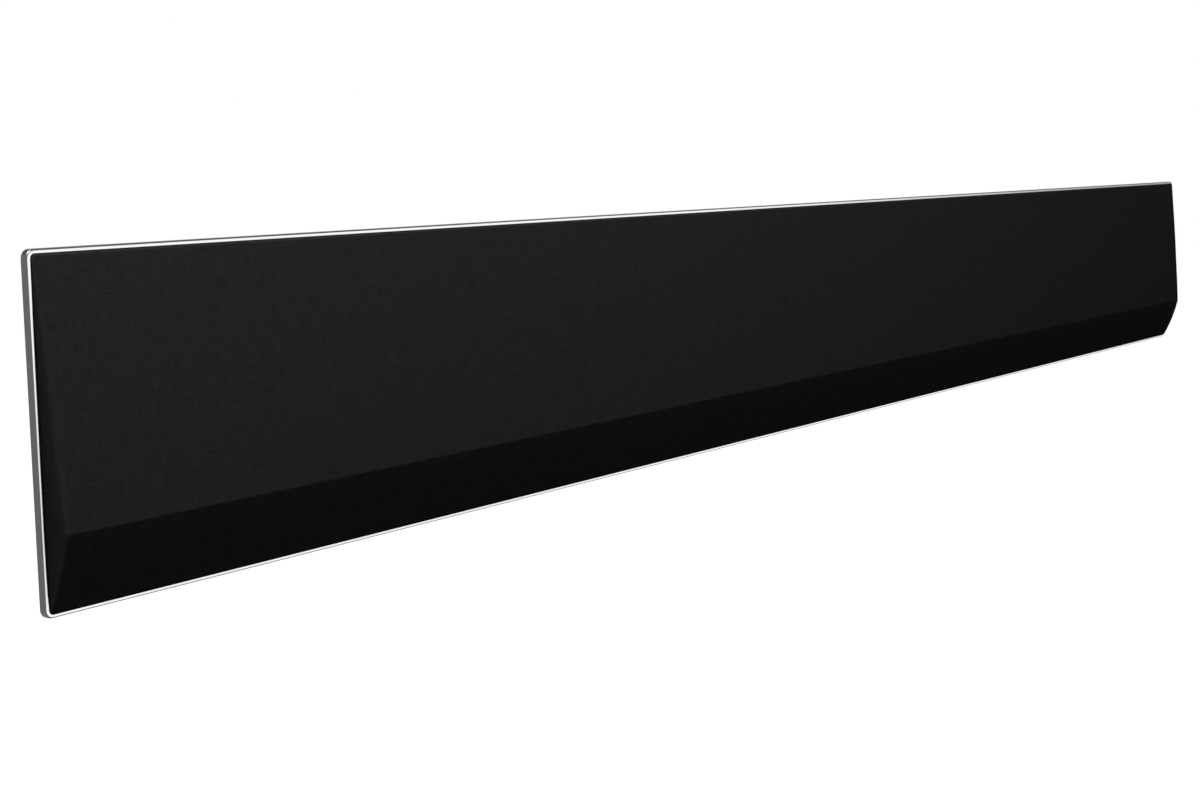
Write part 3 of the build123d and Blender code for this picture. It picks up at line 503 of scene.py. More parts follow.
# %% Sizes of the cloth
GROOVE = 0.3 * MM
CREASE_HEIGHT = 36.2 * MM
TOP_LIFT = 0.4 * MM
FOOT_LIFT = 0.6 * MM
UPPER_CROWN = 1.3 * MM
LOWER_CROWN = 1.4 * MM
CREASE_END_ROUND = 1.2 * MM
UPPER_END_ROUND = 4.0 * MM
ROUND_RUN = 40.0 * MM
EDGE_ROLL = 0.6 * MM
CLOTH_CORNER = 2.0 * MM

cloth_low, cloth_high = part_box("grille_cloth")
trim_low, trim_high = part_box("trim_frame")
CLOTH_END = cloth_high.x - GROOVE
CLOTH_TOP = cloth_high.z - GROOVE
CLOTH_FOOT = cloth_low.z + GROOVE
CREASE_Z = trim_low.z + CREASE_HEIGHT
LIP_FRONT = trim_low.y
BULGE = LIP_FRONT - cloth_low.y
print(f"the cloth fills {2 * CLOTH_END / MM:.1f} by {2 * CLOTH_TOP / MM:.1f} mm inside the lip")

# %% Height of the cloth over the lip
def quarter_drop(distance, radius):
    """How far a quarter circle has dropped at a distance from the edge it rolls over."""
    inside = 1.0 - min(distance / radius, 1.0)
    return radius * (1.0 - math.sqrt(max(1.0 - inside * inside, 0.0)))


def edge_distance(x, z):
    """Distance from a point of the front to the cloth's rounded outline."""
    to_end, to_top = CLOTH_END - abs(x), CLOTH_TOP - abs(z)
    over_x, over_z = CLOTH_CORNER - to_end, CLOTH_CORNER - to_top
    if over_x > 0 and over_z > 0:
        return max(CLOTH_CORNER - math.hypot(over_x, over_z), 0.0)
    return max(min(to_end, to_top), 0.0)


def cloth_lift(x, z):
    """How far the cloth stands in front of the lip: two crowned faces, rounded ends and a rolled edge."""
    if z > CREASE_Z:
        share, edge_lift, crown = (CLOTH_TOP - z) / (CLOTH_TOP - CREASE_Z), TOP_LIFT, UPPER_CROWN
    else:
        share, edge_lift, crown = (z - CLOTH_FOOT) / (CREASE_Z - CLOTH_FOOT), FOOT_LIFT, LOWER_CROWN
    lift = edge_lift + (BULGE - edge_lift) * share + 4 * crown * share * (1 - share)
    softer = min(max((z - CREASE_Z) / ROUND_RUN, 0.0), 1.0)
    end_round = CREASE_END_ROUND + (UPPER_END_ROUND - CREASE_END_ROUND) * softer
    end_drop = quarter_drop(CLOTH_END - abs(x), end_round) * lift / BULGE
    return lift - max(end_drop, quarter_drop(edge_distance(x, z), EDGE_ROLL))


print(f"the crease stands {cloth_lift(0, CREASE_Z) / MM:.1f} mm in front of the lip")

# %% Cut and slice the cloth
CORNER_SEGMENTS = 6
ROLL_STEPS = (0.06 * MM, 0.18 * MM, 0.36 * MM, 0.30 * MM)
END_STEPS = (1.2 * MM, 1.7 * MM, 2.4 * MM, 3.2 * MM, 4.0 * MM, 5.0 * MM)
SLICE_PITCH = 3.5 * MM
CREASE_SOFT = 0.5 * MM
COLUMN_PITCH = 60.0 * MM
ON_PLANE = 1e-7

cloth = bmesh.new()
plate = rounded_plate(cloth, 2 * CLOTH_END, 2 * CLOTH_TOP, CLOTH_CORNER, CORNER_SEGMENTS)
for step in ROLL_STEPS:
    bmesh.ops.inset_region(cloth, faces=plate, thickness=step, use_boundary=True, use_even_offset=True)


def slice_cloth(place, normal):
    everything = cloth.verts[:] + cloth.edges[:] + cloth.faces[:]
    bmesh.ops.bisect_plane(cloth, geom=everything, dist=ON_PLANE, plane_co=place, plane_no=normal)


levels = [CREASE_Z - CREASE_SOFT, CREASE_Z, CREASE_Z + CREASE_SOFT]
rows_up = int((CLOTH_TOP - CREASE_Z) / SLICE_PITCH)
rows_down = int((CREASE_Z - CLOTH_FOOT) / SLICE_PITCH)
levels += [CREASE_Z + i * SLICE_PITCH for i in range(1, rows_up)]
levels += [CREASE_Z - i * SLICE_PITCH for i in range(1, rows_down)]
for level in levels:
    slice_cloth((0.0, 0.0, level), (0.0, 0.0, 1.0))
columns = [end * (CLOTH_END - step) for end in (-1, 1) for step in END_STEPS]
half_count = int(CLOTH_END / COLUMN_PITCH)
columns += [i * COLUMN_PITCH for i in range(1 - half_count, half_count)]
for column in columns:
    slice_cloth((column, 0.0, 0.0), (1.0, 0.0, 0.0))
print(f"the flat cut has {len(cloth.verts)} points")

# %% Lift the cloth on to the grille
flat_place = {}
for point in cloth.verts:
    x, z = point.co.x, point.co.z
    lift = cloth_lift(x, z)
    pulled = max(cloth_lift(0.0, z) - lift, 0.0)
    flat_place[point] = Vector((x + math.copysign(pulled, x), z))
    point.co.y = LIP_FRONT - lift
print(f"lifted {len(flat_place)} points")

# %% Tuck the edge behind the lip
TUCK_GAP = 0.3 * MM

tuck_floor = cloth_high.y - TUCK_GAP
tucked_points, tuck_rim = extruded(cloth, [edge for edge in cloth.edges if edge.is_boundary])
for tucked in tucked_points:
    start = min(
        (edge.other_vert(tucked) for edge in tucked.link_edges if edge.other_vert(tucked) in flat_place),
        key=lambda other: (other.co - tucked.co).length,
    )
    x, z = start.co.x, start.co.z
    outward = Vector((
        math.copysign(max(abs(x) - CLOTH_END + CLOTH_CORNER, 0.0), x),
        math.copysign(max(abs(z) - CLOTH_TOP + CLOTH_CORNER, 0.0), z),
    )).normalized()
    flat_place[tucked] = flat_place[start] + outward * (tuck_floor - start.co.y)
for tucked in tucked_points:
    tucked.co.y = tuck_floor
print(f"tucked {len(tuck_rim)} edges")

# %% Flat coordinates and thickness of the cloth
CLOTH_THICK = 0.5 * MM

weave = cloth.loops.layers.uv.new("flat_cut")
for face in cloth.faces:
    for corner in face.loops:
        corner[weave].uv = flat_place[corner.vert]
bmesh.ops.recalc_face_normals(cloth, faces=cloth.faces[:])
front_cloth = make_piece("front_cloth", cloth, "front_cloth", stands_for=["grille_cloth"])
wall = front_cloth.modifiers.new("cloth_thickness", "SOLIDIFY")
wall.thickness = CLOTH_THICK
wall.offset = -1.0

# %% [markdown]
# ## Silver trim frame
# The frame is one ring with a lip in front and a flange behind the cloth. A box with a hole would give the
# outline, but its razor edges would catch no light. The ring is built from one rounded plate: an inset makes
# the lip, an extrusion its inner wall, and the flange is bridged from that wall to a smaller plate, which is
# the window. The lip slopes outwards a little, so that it mirrors the pale room, and the edges are rounded
# last.

# %% Lip and inner wall of the trim frame
LIP_WIDTH = 1.7 * MM
TRIM_CORNER = 4.0 * MM
CORNER_STEPS = 10
LIP_PROUD = 0.15 * MM
LIP_SLOPE = 0.7 * MM
FLANGE_THICK = 1.2 * MM

TRIM_BACK = trim_high.y
LIP_CREST = LIP_FRONT - LIP_PROUD
FLANGE_FRONT = TRIM_BACK - FLANGE_THICK


def open_face(shape, faces):
    """Deletes a face and returns its outline."""
    edges = unique(edge for face in faces for edge in face.edges)
    bmesh.ops.delete(shape, geom=faces, context="FACES_ONLY")
    return edges


def push_back(shape, edges, distance):
    """Extrudes edges backwards and returns the open edges at their far end."""
    points, rim = extruded(shape, edges)
    bmesh.ops.translate(shape, vec=(0.0, distance, 0.0), verts=points)
    return rim


trim = bmesh.new()
front = rounded_plate(trim, 2 * trim_high.x, 2 * trim_high.z, TRIM_CORNER, CORNER_STEPS,
                      centre=(0.0, LIP_CREST, 0.0))
lip = bmesh.ops.inset_region(trim, faces=front, thickness=LIP_WIDTH, use_boundary=True,
                             use_even_offset=True)["faces"]
outline = [edge for edge in trim.edges if edge.is_boundary]
outer_points = unique(point for edge in outline for point in edge.verts)
bmesh.ops.translate(trim, vec=(0.0, LIP_SLOPE, 0.0), verts=outer_points)
wall_foot = push_back(trim, open_face(trim, front), FLANGE_FRONT - LIP_CREST)
print(f"the lip has {len(lip)} faces")

# %% Flange, window and sides of the trim frame
# SHADED_SATIN is the sides' darker copy of the silver, which is painted shade. BRIGHT is the lip.
SHADED_SATIN, BRIGHT = 0, 1
FLANGE_WIDTH = 14.0 * MM
WINDOW_CORNER = 1.0 * MM

pane = rounded_plate(trim, 2 * (trim_high.x - FLANGE_WIDTH), 2 * (trim_high.z - FLANGE_WIDTH),
                     WINDOW_CORNER, CORNER_STEPS, centre=(0.0, FLANGE_FRONT, 0.0))
window = open_face(trim, pane)
bmesh.ops.bridge_loops(trim, edges=wall_foot + window)
push_back(trim, window, FLANGE_THICK)
push_back(trim, outline, TRIM_BACK - LIP_CREST - LIP_SLOPE)
bmesh.ops.bridge_loops(trim, edges=[edge for edge in trim.edges if edge.is_boundary])
bmesh.ops.recalc_face_normals(trim, faces=trim.faces[:])
for face in lip:
    face.material_index = BRIGHT
print(f"trim ring has {len(trim.faces)} faces")

# %% Round the trim's edges
OUTER_ROUND = 0.7 * MM
LIP_ROUND = 0.12 * MM
SIDEWAYS = 0.1

round_edges(trim, outline, OUTER_ROUND, segments=4, material=SHADED_SATIN)
inner_front = [
    edge for edge in trim.edges
    if len({face.material_index for face in edge.link_faces}) == 2
    and any(abs(face.normal.y) < SIDEWAYS for face in edge.link_faces)
]
round_edges(trim, inner_front, LIP_ROUND, segments=2, material=BRIGHT)
make_piece("trim_ring", trim, "silver_trim", extra=[bright_lip], stands_for=["trim_frame"])

# %% [markdown]
# ## Rear cover
# The cover is one plastic moulding with ribs, bosses and slots, and its solid already has them all.
# Modelling them again would repeat that work, so a copy of the solid's mesh is welded and its flat faces are
# made whole. What it still lacks is what a mould gives: rounded slot ends and wells, and soft edges on the
# outside. Rounding drags the long thin triangles of a flat face with holes along, so such faces are cut out
# and filled anew from their outlines. Large flat faces beside narrow rounds also shade unevenly, so a
# Weighted Normal modifier lets the large faces decide.

# %% Copy of the rear cover
WELD = 0.001 * MM
FLAT = math.radians(1)


def welded_copy(node):
    """A solid's mesh as one skin, with its flat faces whole."""
    shape = bmesh.new()
    shape.from_mesh(solids[node].data)
    bmesh.ops.remove_doubles(shape, verts=shape.verts[:], dist=WELD)
    bmesh.ops.dissolve_limit(shape, angle_limit=FLAT, verts=shape.verts[:], edges=shape.edges[:])
    return shape


cover = welded_copy("rear_cover")
print(f"the copied cover has {len(cover.faces)} whole faces")

# %% Places of the cover screws
SCREW_HEAD_R = 3.2 * MM
HEAD_HEIGHT = 2.2 * MM
# The solids' screw heads are hexagons with corners on X, so they reach less far up and down.
HEXAGON_RISE = math.sin(math.radians(60))

screws_low, screws_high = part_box("rear_cover_screws")
head_seat = screws_high.y - HEAD_HEIGHT
screw_x = screws_high.x - SCREW_HEAD_R
screw_z = screws_high.z - SCREW_HEAD_R * HEXAGON_RISE
screw_places = [(x, z) for x in (-screw_x, 0.0, screw_x) for z in (-screw_z, screw_z)]
print(f"{len(screw_places)} screws, the outer ones {screw_x / MM:.0f} mm from the middle")

# %% Round the corners of the cover's openings
SQUARE = math.radians(80)
HALF_SQUARE = math.radians(40)
WELL_REACH = 3.74 * MM
SLOT_DEEP = 4.0 * MM
CORNER_ROUNDS = {
    # opening: (radius, segments)
    "well": (3.3 * MM, 6),
    "slot": (1.2 * MM, 4),
    "bay": (3.0 * MM, 4),
    "key window": (0.5 * MM, 3),
}

cover_low, cover_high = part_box("rear_cover")
corners = {opening: [] for opening in CORNER_ROUNDS}
for edge in cover.edges:
    first, second = (point.co for point in edge.verts)
    run = first - second
    fold = edge.calc_face_angle_signed(0.0)
    along_y = abs(run.x) + abs(run.z) < WELD
    along_z = abs(run.x) + abs(run.y) < WELD
    from_back = max(first.y, second.y) > cover_high.y - WELD
    from_below = min(first.z, second.z) < cover_low.z + WELD
    if along_z and from_below and -SQUARE < fold < -HALF_SQUARE:
        corners["key window"].append(edge)
    if along_y and from_back and fold < -SQUARE:
        by_screw = any(max(abs(first.x - x), abs(first.z - z)) < WELL_REACH for x, z in screw_places)
        opening = "well" if by_screw else "bay" if edge.calc_length() > SLOT_DEEP else "slot"
        corners[opening].append(edge)
for opening, (radius, segments) in CORNER_ROUNDS.items():
    round_edges(cover, corners[opening], radius, segments)
    print(f"rounded {len(corners[opening])} {opening} edges")

# %% Round the cover's outer edges
FORM_ROUND = 1.0 * MM
FORM_FOLD = math.radians(10)
SAME_PLANE = 0.02 * MM
MOSTLY = 0.9


def outside_faces(shape):
    """Faces that no other point of the piece stands in front of, apart from those that look forwards."""
    places = [point.co for point in shape.verts]
    found = set()
    for face in shape.faces:
        reach = face.normal.dot(face.verts[0].co) + SAME_PLANE
        if face.normal.y > -MOSTLY and all(face.normal.dot(place) < reach for place in places):
            found.add(face)
    return found


outside = outside_faces(cover)
form = [
    edge for edge in cover.edges
    if outside.issuperset(edge.link_faces) and edge.calc_face_angle() > FORM_FOLD
]
round_edges(cover, form, FORM_ROUND, segments=4)
bmesh.ops.remove_doubles(cover, verts=cover.verts[:], dist=WELD)
print(f"rounded {len(form)} outer edges")

# %% Flat faces and the rims of their holes
Y, Z = 1, 2
RIM_ROUND = 0.35 * MM
STRAIGHT = 0.999


def flat_faces(shape, axis, level):
    """Faces that lie wholly at one level of an axis."""
    return [
        face for face in shape.faces
        if all(abs(point.co[axis] - level) < WELD for point in face.verts)
    ]


def refill(shape, flat):
    """Cuts flat faces out and fills their outlines anew, with the holes left open."""
    cut = set(flat)
    rim = unique(edge for face in flat for edge in face.edges if not cut.issuperset(edge.link_faces))
    bmesh.ops.delete(shape, geom=flat, context="FACES")
    bmesh.ops.triangle_fill(shape, edges=rim, use_beauty=True)


def soften_holes(shape, axis, level, inward):
    """Draws flat faces back from their holes and sinks the holes' rims, which leaves a chamfer round each."""
    flat = flat_faces(shape, axis, level)
    bmesh.ops.inset_region(shape, faces=flat, thickness=RIM_ROUND, use_even_offset=True)
    drawn_back = {point for face in flat for point in face.verts}
    step = Vector((0.0, 0.0, 0.0))
    step[axis] = inward * RIM_ROUND
    rims = []
    for point in shape.verts:
        if abs(point.co[axis] - level) < WELD and point not in drawn_back:
            ways = [(edge.other_vert(point).co - point.co).normalized() for edge in point.link_edges]
            if any(way[axis] * inward > STRAIGHT for way in ways):
                rims.append(point)
    refill(shape, flat)
    bmesh.ops.translate(shape, vec=step, verts=rims)
    return len(rims)


print("helpers for flat faces ready")

# %% Fill the cover's flat faces and soften its holes
COVER_WALL = 2.5 * MM

flat_levels = (
    (Y, cover_high.y), (Y, cover_high.y - COVER_WALL), (Y, head_seat),
    (Z, cover_low.z), (Z, cover_low.z + COVER_WALL), (Z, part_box("av_jack")[0].z),
)
for axis, level in flat_levels:
    refill(cover, flat_faces(cover, axis, level))
rims = soften_holes(cover, Y, cover_high.y, -1) + soften_holes(cover, Z, cover_low.z, 1)
bmesh.ops.recalc_face_normals(cover, faces=cover.faces[:])
rear_shell = make_piece("rear_shell", cover, "cover_plastic", stands_for=["rear_cover"])
rear_shell.modifiers.new("large_faces_decide", "WEIGHTED_NORMAL").keep_sharp = True
print(f"sank {rims} points of the holes' rims")

# %% [markdown]
# ## Screws and wall inserts
# Screws and inserts are turned on a lathe, so a profile spun about an axis makes them. A screw's hexagon
# socket is pressed in afterwards: the open ring at the top of the spin is extruded, drawn on to a hexagon
# and pushed down. An insert is the other way round, a turned hole in a hexagon, which keeps it from turning
# in the plastic.

# %% Turned pieces
TURNED_STEPS = 24
SIXTH_TURN = math.radians(60)
TO_WALL = Matrix.Rotation(math.radians(-90), 3, "X")


def turned(shape, profile):
    """Spins a profile of (radius, height) points about Z and returns the points of the spin."""
    earlier = set(shape.verts)
    line = [shape.verts.new((radius, 0.0, height)) for radius, height in profile]
    edges = [shape.edges.new(pair) for pair in zip(line, line[1:])]
    bmesh.ops.spin(shape, geom=line + edges, cent=(0.0, 0.0, 0.0), axis=(0.0, 0.0, 1.0),
                   dvec=(0.0, 0.0, 0.0), angle=2 * math.pi, steps=TURNED_STEPS,
                   use_merge=True, use_duplicate=False)
    points = [point for point in shape.verts if point not in earlier]
    bmesh.ops.remove_doubles(shape, verts=points, dist=WELD)
    return [point for point in shape.verts if point not in earlier]


def ring_at(points, radius, height):
    """Open edges of the ring with a radius at a height."""
    ring = [
        point for point in points
        if abs(point.co.z - height) < WELD and abs(math.hypot(point.co.x, point.co.y) - radius) < WELD
    ]
    members = set(ring)
    return unique(edge for point in ring for edge in point.link_edges
                  if edge.is_boundary and members.issuperset(edge.verts))


def draw_ring(shape, ring, drop, flats=None):
    """Extrudes a ring downwards, drawn on to a hexagon if its width across flats is given."""
    points, rim = extruded(shape, ring)
    for point in points:
        if flats:
            angle = math.atan2(point.co.y, point.co.x) % SIXTH_TURN - SIXTH_TURN / 2
            point.co.xy = point.co.xy.normalized() * flats / 2 / math.cos(angle)
        point.co.z -= drop
    return rim


def set_in_place(shape, earlier, place):
    """Turns what was made since from +Z towards the wall and moves it to its place."""
    points = [point for point in shape.verts if point not in earlier]
    bmesh.ops.rotate(shape, matrix=TO_WALL, verts=points)
    bmesh.ops.translate(shape, vec=place, verts=points)


print("lathe helpers ready")

# %% Cover screws
SCREW_R = 1.5 * MM
TIP_R = 0.9 * MM
TIP_TAPER = 1.2 * MM
SOCKET_RIM_R = 1.8 * MM
SOCKET_FLATS = 2.5 * MM
SOCKET_DEEP = 1.3 * MM
# The head's outline, as shares of its radius and of its height.
HEAD_OUTLINE = ((1.0, 0.0), (1.0, 0.45), (0.93, 0.72), (0.76, 0.92))

shank = head_seat - screws_low.y
screw_profile = [(0.0, -shank), (TIP_R, -shank), (SCREW_R, TIP_TAPER - shank), (SCREW_R, 0.0)]
screw_profile += [(out * SCREW_HEAD_R, up * HEAD_HEIGHT) for out, up in HEAD_OUTLINE]
screw_profile.append((SOCKET_RIM_R, HEAD_HEIGHT))
screws = bmesh.new()
for x, z in screw_places:
    earlier = set(screws.verts)
    ring = ring_at(turned(screws, screw_profile), *screw_profile[-1])
    ring = draw_ring(screws, ring, 0.0, flats=SOCKET_FLATS)
    ring = draw_ring(screws, ring, SOCKET_DEEP)
    bmesh.ops.edgeloop_fill(screws, edges=ring)
    set_in_place(screws, earlier, (x, head_seat, z))
bmesh.ops.recalc_face_normals(screws, faces=screws.faces[:])
make_piece("cover_screw_set", screws, "screw_steel", stands_for=["rear_cover_screws"])

# %% Wall inserts
INSERT_R = 3.0 * MM
HOLE_R = 2.0 * MM
COUNTERSINK = 0.35 * MM

inserts_low, inserts_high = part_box("wall_inserts")
insert_flats = 2 * INSERT_R * math.cos(SIXTH_TURN / 2)
insert_x = inserts_high.x - INSERT_R
insert_z = inserts_high.z - insert_flats / 2
insert_places = [(x, z) for x in (-insert_x, insert_x) for z in (-insert_z, insert_z)]
insert_length = inserts_high.y - inserts_low.y
hole_profile = [(HOLE_R, -insert_length), (HOLE_R, -COUNTERSINK), (HOLE_R + COUNTERSINK, 0.0)]
inserts = bmesh.new()
for x, z in insert_places:
    earlier = set(inserts.verts)
    points = turned(inserts, hole_profile)
    ring = draw_ring(inserts, ring_at(points, *hole_profile[-1]), 0.0, flats=insert_flats)
    ring = draw_ring(inserts, ring, insert_length)
    bmesh.ops.bridge_loops(inserts, edges=ring + ring_at(points, *hole_profile[0]))
    set_in_place(inserts, earlier, (x, inserts_high.y, z))
bmesh.ops.recalc_face_normals(inserts, faces=inserts.faces[:])
make_piece("wall_insert_set", inserts, "insert_brass", stands_for=["wall_inserts"])

# %% [markdown]
# ## Rubber pads and push buttons
# Pads and buttons are moulded blocks with softened edges. A cube scaled to size and bevelled is all they
# need; the bevel is what makes them look moulded. Each button is its own piece, because each moves with its
# own key body.

# %% Rounded blocks
def rounded_block(shape, middle, size, axis, corner, soft, segments=3):
    """Block whose edges along one axis get a corner radius, and all others a soft edge."""
    made = bmesh.ops.create_cube(shape, size=1.0)["verts"]
    bmesh.ops.scale(shape, vec=size, verts=made)
    bmesh.ops.translate(shape, vec=middle, verts=made)
    along = []
    for edge in unique(edge for point in made for edge in point.link_edges):
        way = (edge.verts[0].co - edge.verts[1].co).normalized()
        if abs(way[axis]) > MOSTLY:
            along.append(edge)
    rounded = round_edges(shape, along, corner, segments + 2)
    beside = unique(face for strip in rounded for point in strip.verts for face in point.link_faces)
    ends = [face for face in beside if abs(face.normal[axis]) > MOSTLY]
    round_edges(shape, unique(edge for face in ends for edge in face.edges), soft, segments)


print("rounded blocks can be made")

# %% Wall pads
PAD_LENGTH = 40.0 * MM
PAD_HEIGHT = 14.0 * MM
PAD_CORNER = 3.0 * MM
PAD_SOFT = 0.4 * MM

pad_low, pad_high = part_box("wall_pads")
pad_x, pad_z = pad_high.x - PAD_LENGTH / 2, pad_high.z - PAD_HEIGHT / 2
pad_y = (pad_low.y + pad_high.y) / 2
pad_size = (PAD_LENGTH, pad_high.y - pad_low.y, PAD_HEIGHT)
pads = bmesh.new()
for x, z in ((-pad_x, -pad_z), (-pad_x, pad_z), (0.0, 0.0), (pad_x, -pad_z), (pad_x, pad_z)):
    rounded_block(pads, (x, pad_y, z), pad_size, Y, PAD_CORNER, PAD_SOFT)
make_piece("wall_pad_set", pads, "pad_rubber", stands_for=["wall_pads"])

# %% Push buttons
CAP_SIZE = (12.0 * MM, 4.0 * MM)
CAP_EDGES = (1.0 * MM, 0.35 * MM)
FLANGE_DEPTH = 1.0 * MM
FLANGE_EDGES = (0.4 * MM, 0.15 * MM)
STEM_LENGTH = 4.0 * MM
STEM_SIZE = (3.0 * MM, 3.0 * MM)
STEM_EDGES = (0.3 * MM, 0.2 * MM)

for key in ("power", "source", "volume_down", "volume_up"):
    low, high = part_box(f"{key}_button")
    middle = (low + high) / 2
    flange_top = high.z - STEM_LENGTH
    flange_low = flange_top - FLANGE_DEPTH
    button = bmesh.new()
    for size, foot, top, edges in (
        (CAP_SIZE, low.z, flange_low, CAP_EDGES),
        ((high.x - low.x, high.y - low.y), flange_low, flange_top, FLANGE_EDGES),
        (STEM_SIZE, flange_top, high.z, STEM_EDGES),
    ):
        rounded_block(button, (middle.x, middle.y, (foot + top) / 2), (*size, top - foot), Z, *edges)
    make_piece(f"{key}_cap", button, "button_plastic", body=f"{key}_key", stands_for=[f"{key}_button"])

# %% [markdown]
# ## Sockets
# Four sockets look down into the bay: round ones for power and a line lead, flat ones in plated shells.
# Their solids have the mouths, the pin and the tongues already, so welded copies are used, with a chamfer
# round each mouth that leads a plug in. Real sockets are made of several materials, so the pin is bright
# metal, the tongues are dark plastic, and rows of gilt contact strips lie on them.

# %% Copies of the sockets
INNER, CONTACT = 1, 2
MOUTH_MARGIN = 1.0 * MM


def socket_copy(node, reach):
    """Copy of a socket with a soft mouth; what is sunk in it, within reach of its middle, is INNER."""
    socket = welded_copy(node)
    low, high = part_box(node)
    middle_x = (low.x + high.x) / 2
    for face in socket.faces:
        places = [point.co for point in face.verts]
        sunk = all(low.z + MOUTH_MARGIN < place.z < high.z - MOUTH_MARGIN for place in places)
        if sunk and all(abs(place.x - middle_x) < reach for place in places):
            face.material_index = INNER
    soften_holes(socket, Z, low.z, 1)
    return socket


print("sockets can be copied")

# %% Round sockets
PIN_REACH = 1.1 * MM
NO_PIN = 0.0

for key, reach in (("power", PIN_REACH), ("line", NO_PIN)):
    socket = socket_copy(f"{key}_jack", reach)
    make_piece(f"{key}_socket", socket, "jack_plastic", extra=[finishes["plated_steel"]],
               stands_for=[f"{key}_jack"])

# %% Flat sockets with contact strips
TONGUE_SETBACK = 2.0 * MM
TONGUE_LENGTH = 8.0 * MM
STRIP_MARGIN = 0.6 * MM
STRIP_PROUD = 0.12 * MM
STRIP_SOFT = 0.06 * MM
TONGUES = {
    # socket: (tongue's thickness in mm, strips, their pitch in mm, their width in mm)
    "av": (1.4, 10, 1.0, 0.45),
    "data": (1.8, 4, 2.0, 1.1),
}


def add_strips(socket, node, thick, count, pitch, width):
    """Contact strips side by side on both faces of a tongue."""
    low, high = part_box(node)
    middle = (low + high) / 2
    foot = low.z + TONGUE_SETBACK + STRIP_MARGIN
    top = low.z + TONGUE_SETBACK + TONGUE_LENGTH
    size = (width, thick + 2 * STRIP_PROUD, top - foot)
    earlier = set(socket.faces)
    for i in range(count):
        x = middle.x + (i - (count - 1) / 2) * pitch
        rounded_block(socket, (x, middle.y, (foot + top) / 2), size, Z, STRIP_SOFT, STRIP_SOFT)
    for face in socket.faces:
        if face not in earlier:
            face.material_index = CONTACT


gilt = metal_finish("contact_gilt", (0.68, 0.48, 0.17), (0.84, 0.63, 0.27), 0.24)
for key, (thick, count, pitch, width) in TONGUES.items():
    socket = socket_copy(f"{key}_jack", math.inf)
    add_strips(socket, f"{key}_jack", thick * MM, count, pitch * MM, width * MM)
    make_piece(f"{key}_socket", socket, "plated_steel", extra=[finishes["jack_plastic"], gilt],
               stands_for=[f"{key}_jack"])

# %% [markdown]
# ## Woofer spiders
# A spider is a pair of pleated strips of treated cloth that lets the voice coil move in and out and no other
# way. A copy of the solid gets rounded pleats. The dish would cut through stiff strips when it is drawn in,
# and a full cloth model is not worth it inside a closed bar.

# %% Woofer spiders
PLEAT_LEAST, PLEAT_MOST = math.radians(20), math.radians(60)
PLEAT_ROUND = 0.5 * MM

for side in ("left", "right"):
    node = f"woofer_{side}_spider"
    spider = welded_copy(node)
    pleats = [edge for edge in spider.edges if PLEAT_LEAST < edge.calc_face_angle() < PLEAT_MOST]
    round_edges(spider, pleats, PLEAT_ROUND)
    strips = make_piece(f"{side}_spider_strips", spider, "spider_cloth", stands_for=[node])
    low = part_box(node)[0]
    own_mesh(strips)

# %% [markdown]
# ## Floor, room and light
# The bar hangs on a wall, so the pale floor lies well below it and its shadow falls there. One level strip
# lamp hangs high at the front left: it lights the upper face of the cloth, grazes the lower one and fades
# towards the far end. To the camera the room is white. To shiny metal it has a dark ceiling and a dark flag
# at the far right, and the floor is a little greyer; together with the painted shade on its sides, this gives
# the silver frame its tones. From below the floor is clear, so that the keys and the sockets can be looked
# at.

# %% Floor
FLOOR_Z = -0.80
FLOOR_HALF = 6.0

floor_shape = bmesh.new()
bmesh.ops.create_grid(floor_shape, x_segments=1, y_segments=1, size=FLOOR_HALF)
bmesh.ops.translate(floor_shape, vec=(0.0, 0.0, FLOOR_Z), verts=floor_shape.verts[:])
floor_mesh = bpy.data.meshes.new("floor")
floor_shape.to_mesh(floor_mesh)
floor_shape.free()
floor = bpy.data.objects.new("floor", floor_mesh)
scene.collection.objects.link(floor)
floor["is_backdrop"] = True

# %% Floor paper
NEAR_GLOW, FAR_GLOW = 0.78, 1.0
FADE_START, FADE_STOP = 0.5, 1.35
FLOOR_MIRRORED = 0.80
PAPER_GREY = (0.18, 0.18, 0.18, 1.0)


def seen_directly(nodes, mirrored=1.0):
    """1 for rays from the camera, the mirrored share for rays off shiny or through clear pieces, else 0."""
    path = nodes.add("ShaderNodeLightPath").outputs
    by_way_of = nodes.math("MAXIMUM", path["Is Glossy Ray"], path["Is Transmission Ray"])
    return nodes.math("MAXIMUM", path["Is Camera Ray"], nodes.math("MULTIPLY", by_way_of, mirrored))


paper = bpy.data.materials.new("floor_paper")
paper.use_nodes = True
paper.node_tree.nodes.clear()
nodes = Nodes(paper.node_tree)
coordinates = nodes.add("ShaderNodeTexCoord")
distance = nodes.add("ShaderNodeVectorMath", operation="LENGTH")
nodes.link(coordinates.outputs["Object"], distance.inputs[0])
fade = nodes.span(distance.outputs["Value"], (FADE_START, FADE_STOP), (NEAR_GLOW, FAR_GLOW))
glow = nodes.add("ShaderNodeEmission")
nodes.link(nodes.math("MULTIPLY", fade, seen_directly(nodes, FLOOR_MIRRORED)), glow.inputs["Strength"])
matt = nodes.add("ShaderNodeBsdfDiffuse")
matt.inputs["Color"].default_value = PAPER_GREY
upper_side = nodes.add("ShaderNodeAddShader")
nodes.link(matt.outputs["BSDF"], upper_side.inputs[0])
nodes.link(glow.outputs["Emission"], upper_side.inputs[1])
lower_side = nodes.add("ShaderNodeBsdfTransparent")
facing = nodes.add("ShaderNodeNewGeometry")
one_sided = nodes.add("ShaderNodeMixShader")
nodes.link(facing.outputs["Backfacing"], one_sided.inputs["Fac"])
nodes.link(upper_side.outputs["Shader"], one_sided.inputs[1])
nodes.link(lower_side.outputs["BSDF"], one_sided.inputs[2])
surface = nodes.add("ShaderNodeOutputMaterial")
nodes.link(one_sided.outputs["Shader"], surface.inputs["Surface"])
floor_mesh.materials.append(paper)
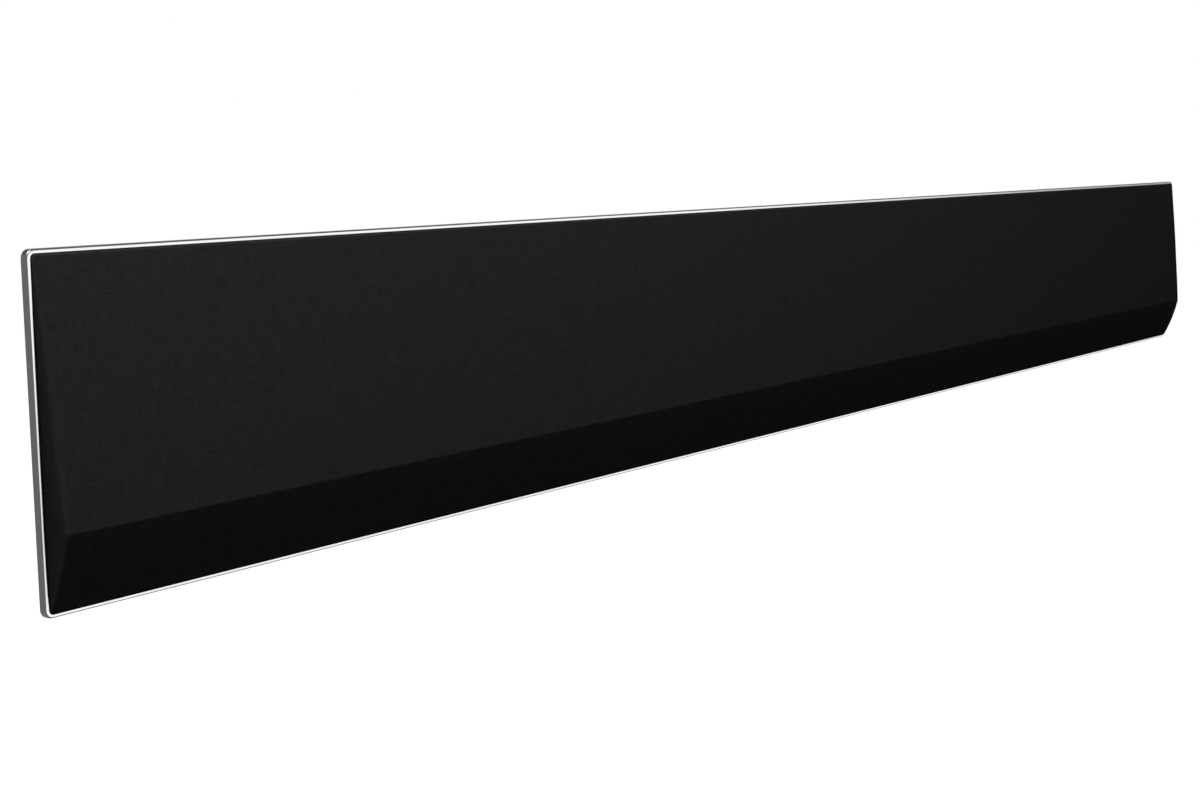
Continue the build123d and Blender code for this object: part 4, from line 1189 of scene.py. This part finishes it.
print("the floor glows to the camera and is clear from below")

# %% Room
FILL = 0.34
CEILING, CEILING_SPAN = 0.10, (0.52, 0.68)
FLAG, FLAG_SPAN = 0.35, (0.88, 0.96)
WHITE = (1.0, 1.0, 1.0, 1.0)

world = bpy.data.worlds.new("room")
scene.world = world
world.use_nodes = True
world.node_tree.nodes.clear()
nodes = Nodes(world.node_tree)
direction = nodes.add("ShaderNodeTexCoord")
split = nodes.add("ShaderNodeSeparateXYZ")
nodes.link(direction.outputs["Generated"], split.inputs["Vector"])
ceiling = nodes.span(split.outputs["Z"], CEILING_SPAN, (1.0, CEILING), curve="SMOOTHSTEP")
flag = nodes.span(split.outputs["X"], FLAG_SPAN, (1.0, FLAG), curve="SMOOTHSTEP")
shades = nodes.math("MULTIPLY", ceiling, flag)
path = nodes.add("ShaderNodeLightPath")
brightness = nodes.add("ShaderNodeMix", data_type="FLOAT")
brightness.inputs["A"].default_value = FILL
nodes.link(seen_directly(nodes), brightness.inputs["Factor"])
nodes.link(nodes.math("MAXIMUM", path.outputs["Is Camera Ray"], shades), brightness.inputs["B"])
background = nodes.add("ShaderNodeBackground")
background.inputs["Color"].default_value = WHITE
nodes.link(brightness.outputs["Result"], background.inputs["Strength"])
surround = nodes.add("ShaderNodeOutputWorld")
nodes.link(background.outputs["Background"], surround.inputs["Surface"])
print("room is white to the camera, darker overhead and at the far right to metal")

# %% Lamp
LAMP_PLACE = Vector((-1.05, -0.45, 2.0))
LAMP_LENGTH, LAMP_WIDTH = 1.2, 0.4
LAMP_WATTS = 110.0

lamp_data = bpy.data.lights.new("strip_lamp", "AREA")
lamp_data.shape = "RECTANGLE"
lamp_data.size = LAMP_LENGTH
lamp_data.size_y = LAMP_WIDTH
lamp_data.energy = LAMP_WATTS
lamp = bpy.data.objects.new("strip_lamp", lamp_data)
lamp.location = LAMP_PLACE
scene.collection.objects.link(lamp)
print("one level strip lamp above the front left")

# %% [markdown]
# ## Finish
# The picture is shown with the Standard view transform. The size of the dressed bar's box is printed.

# %% Finish
scene.view_settings.view_transform = "Standard"
low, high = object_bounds()
print(f"dressed bar is {(high - low).x:.4f} by {(high - low).y:.4f} by {(high - low).z:.4f} m")
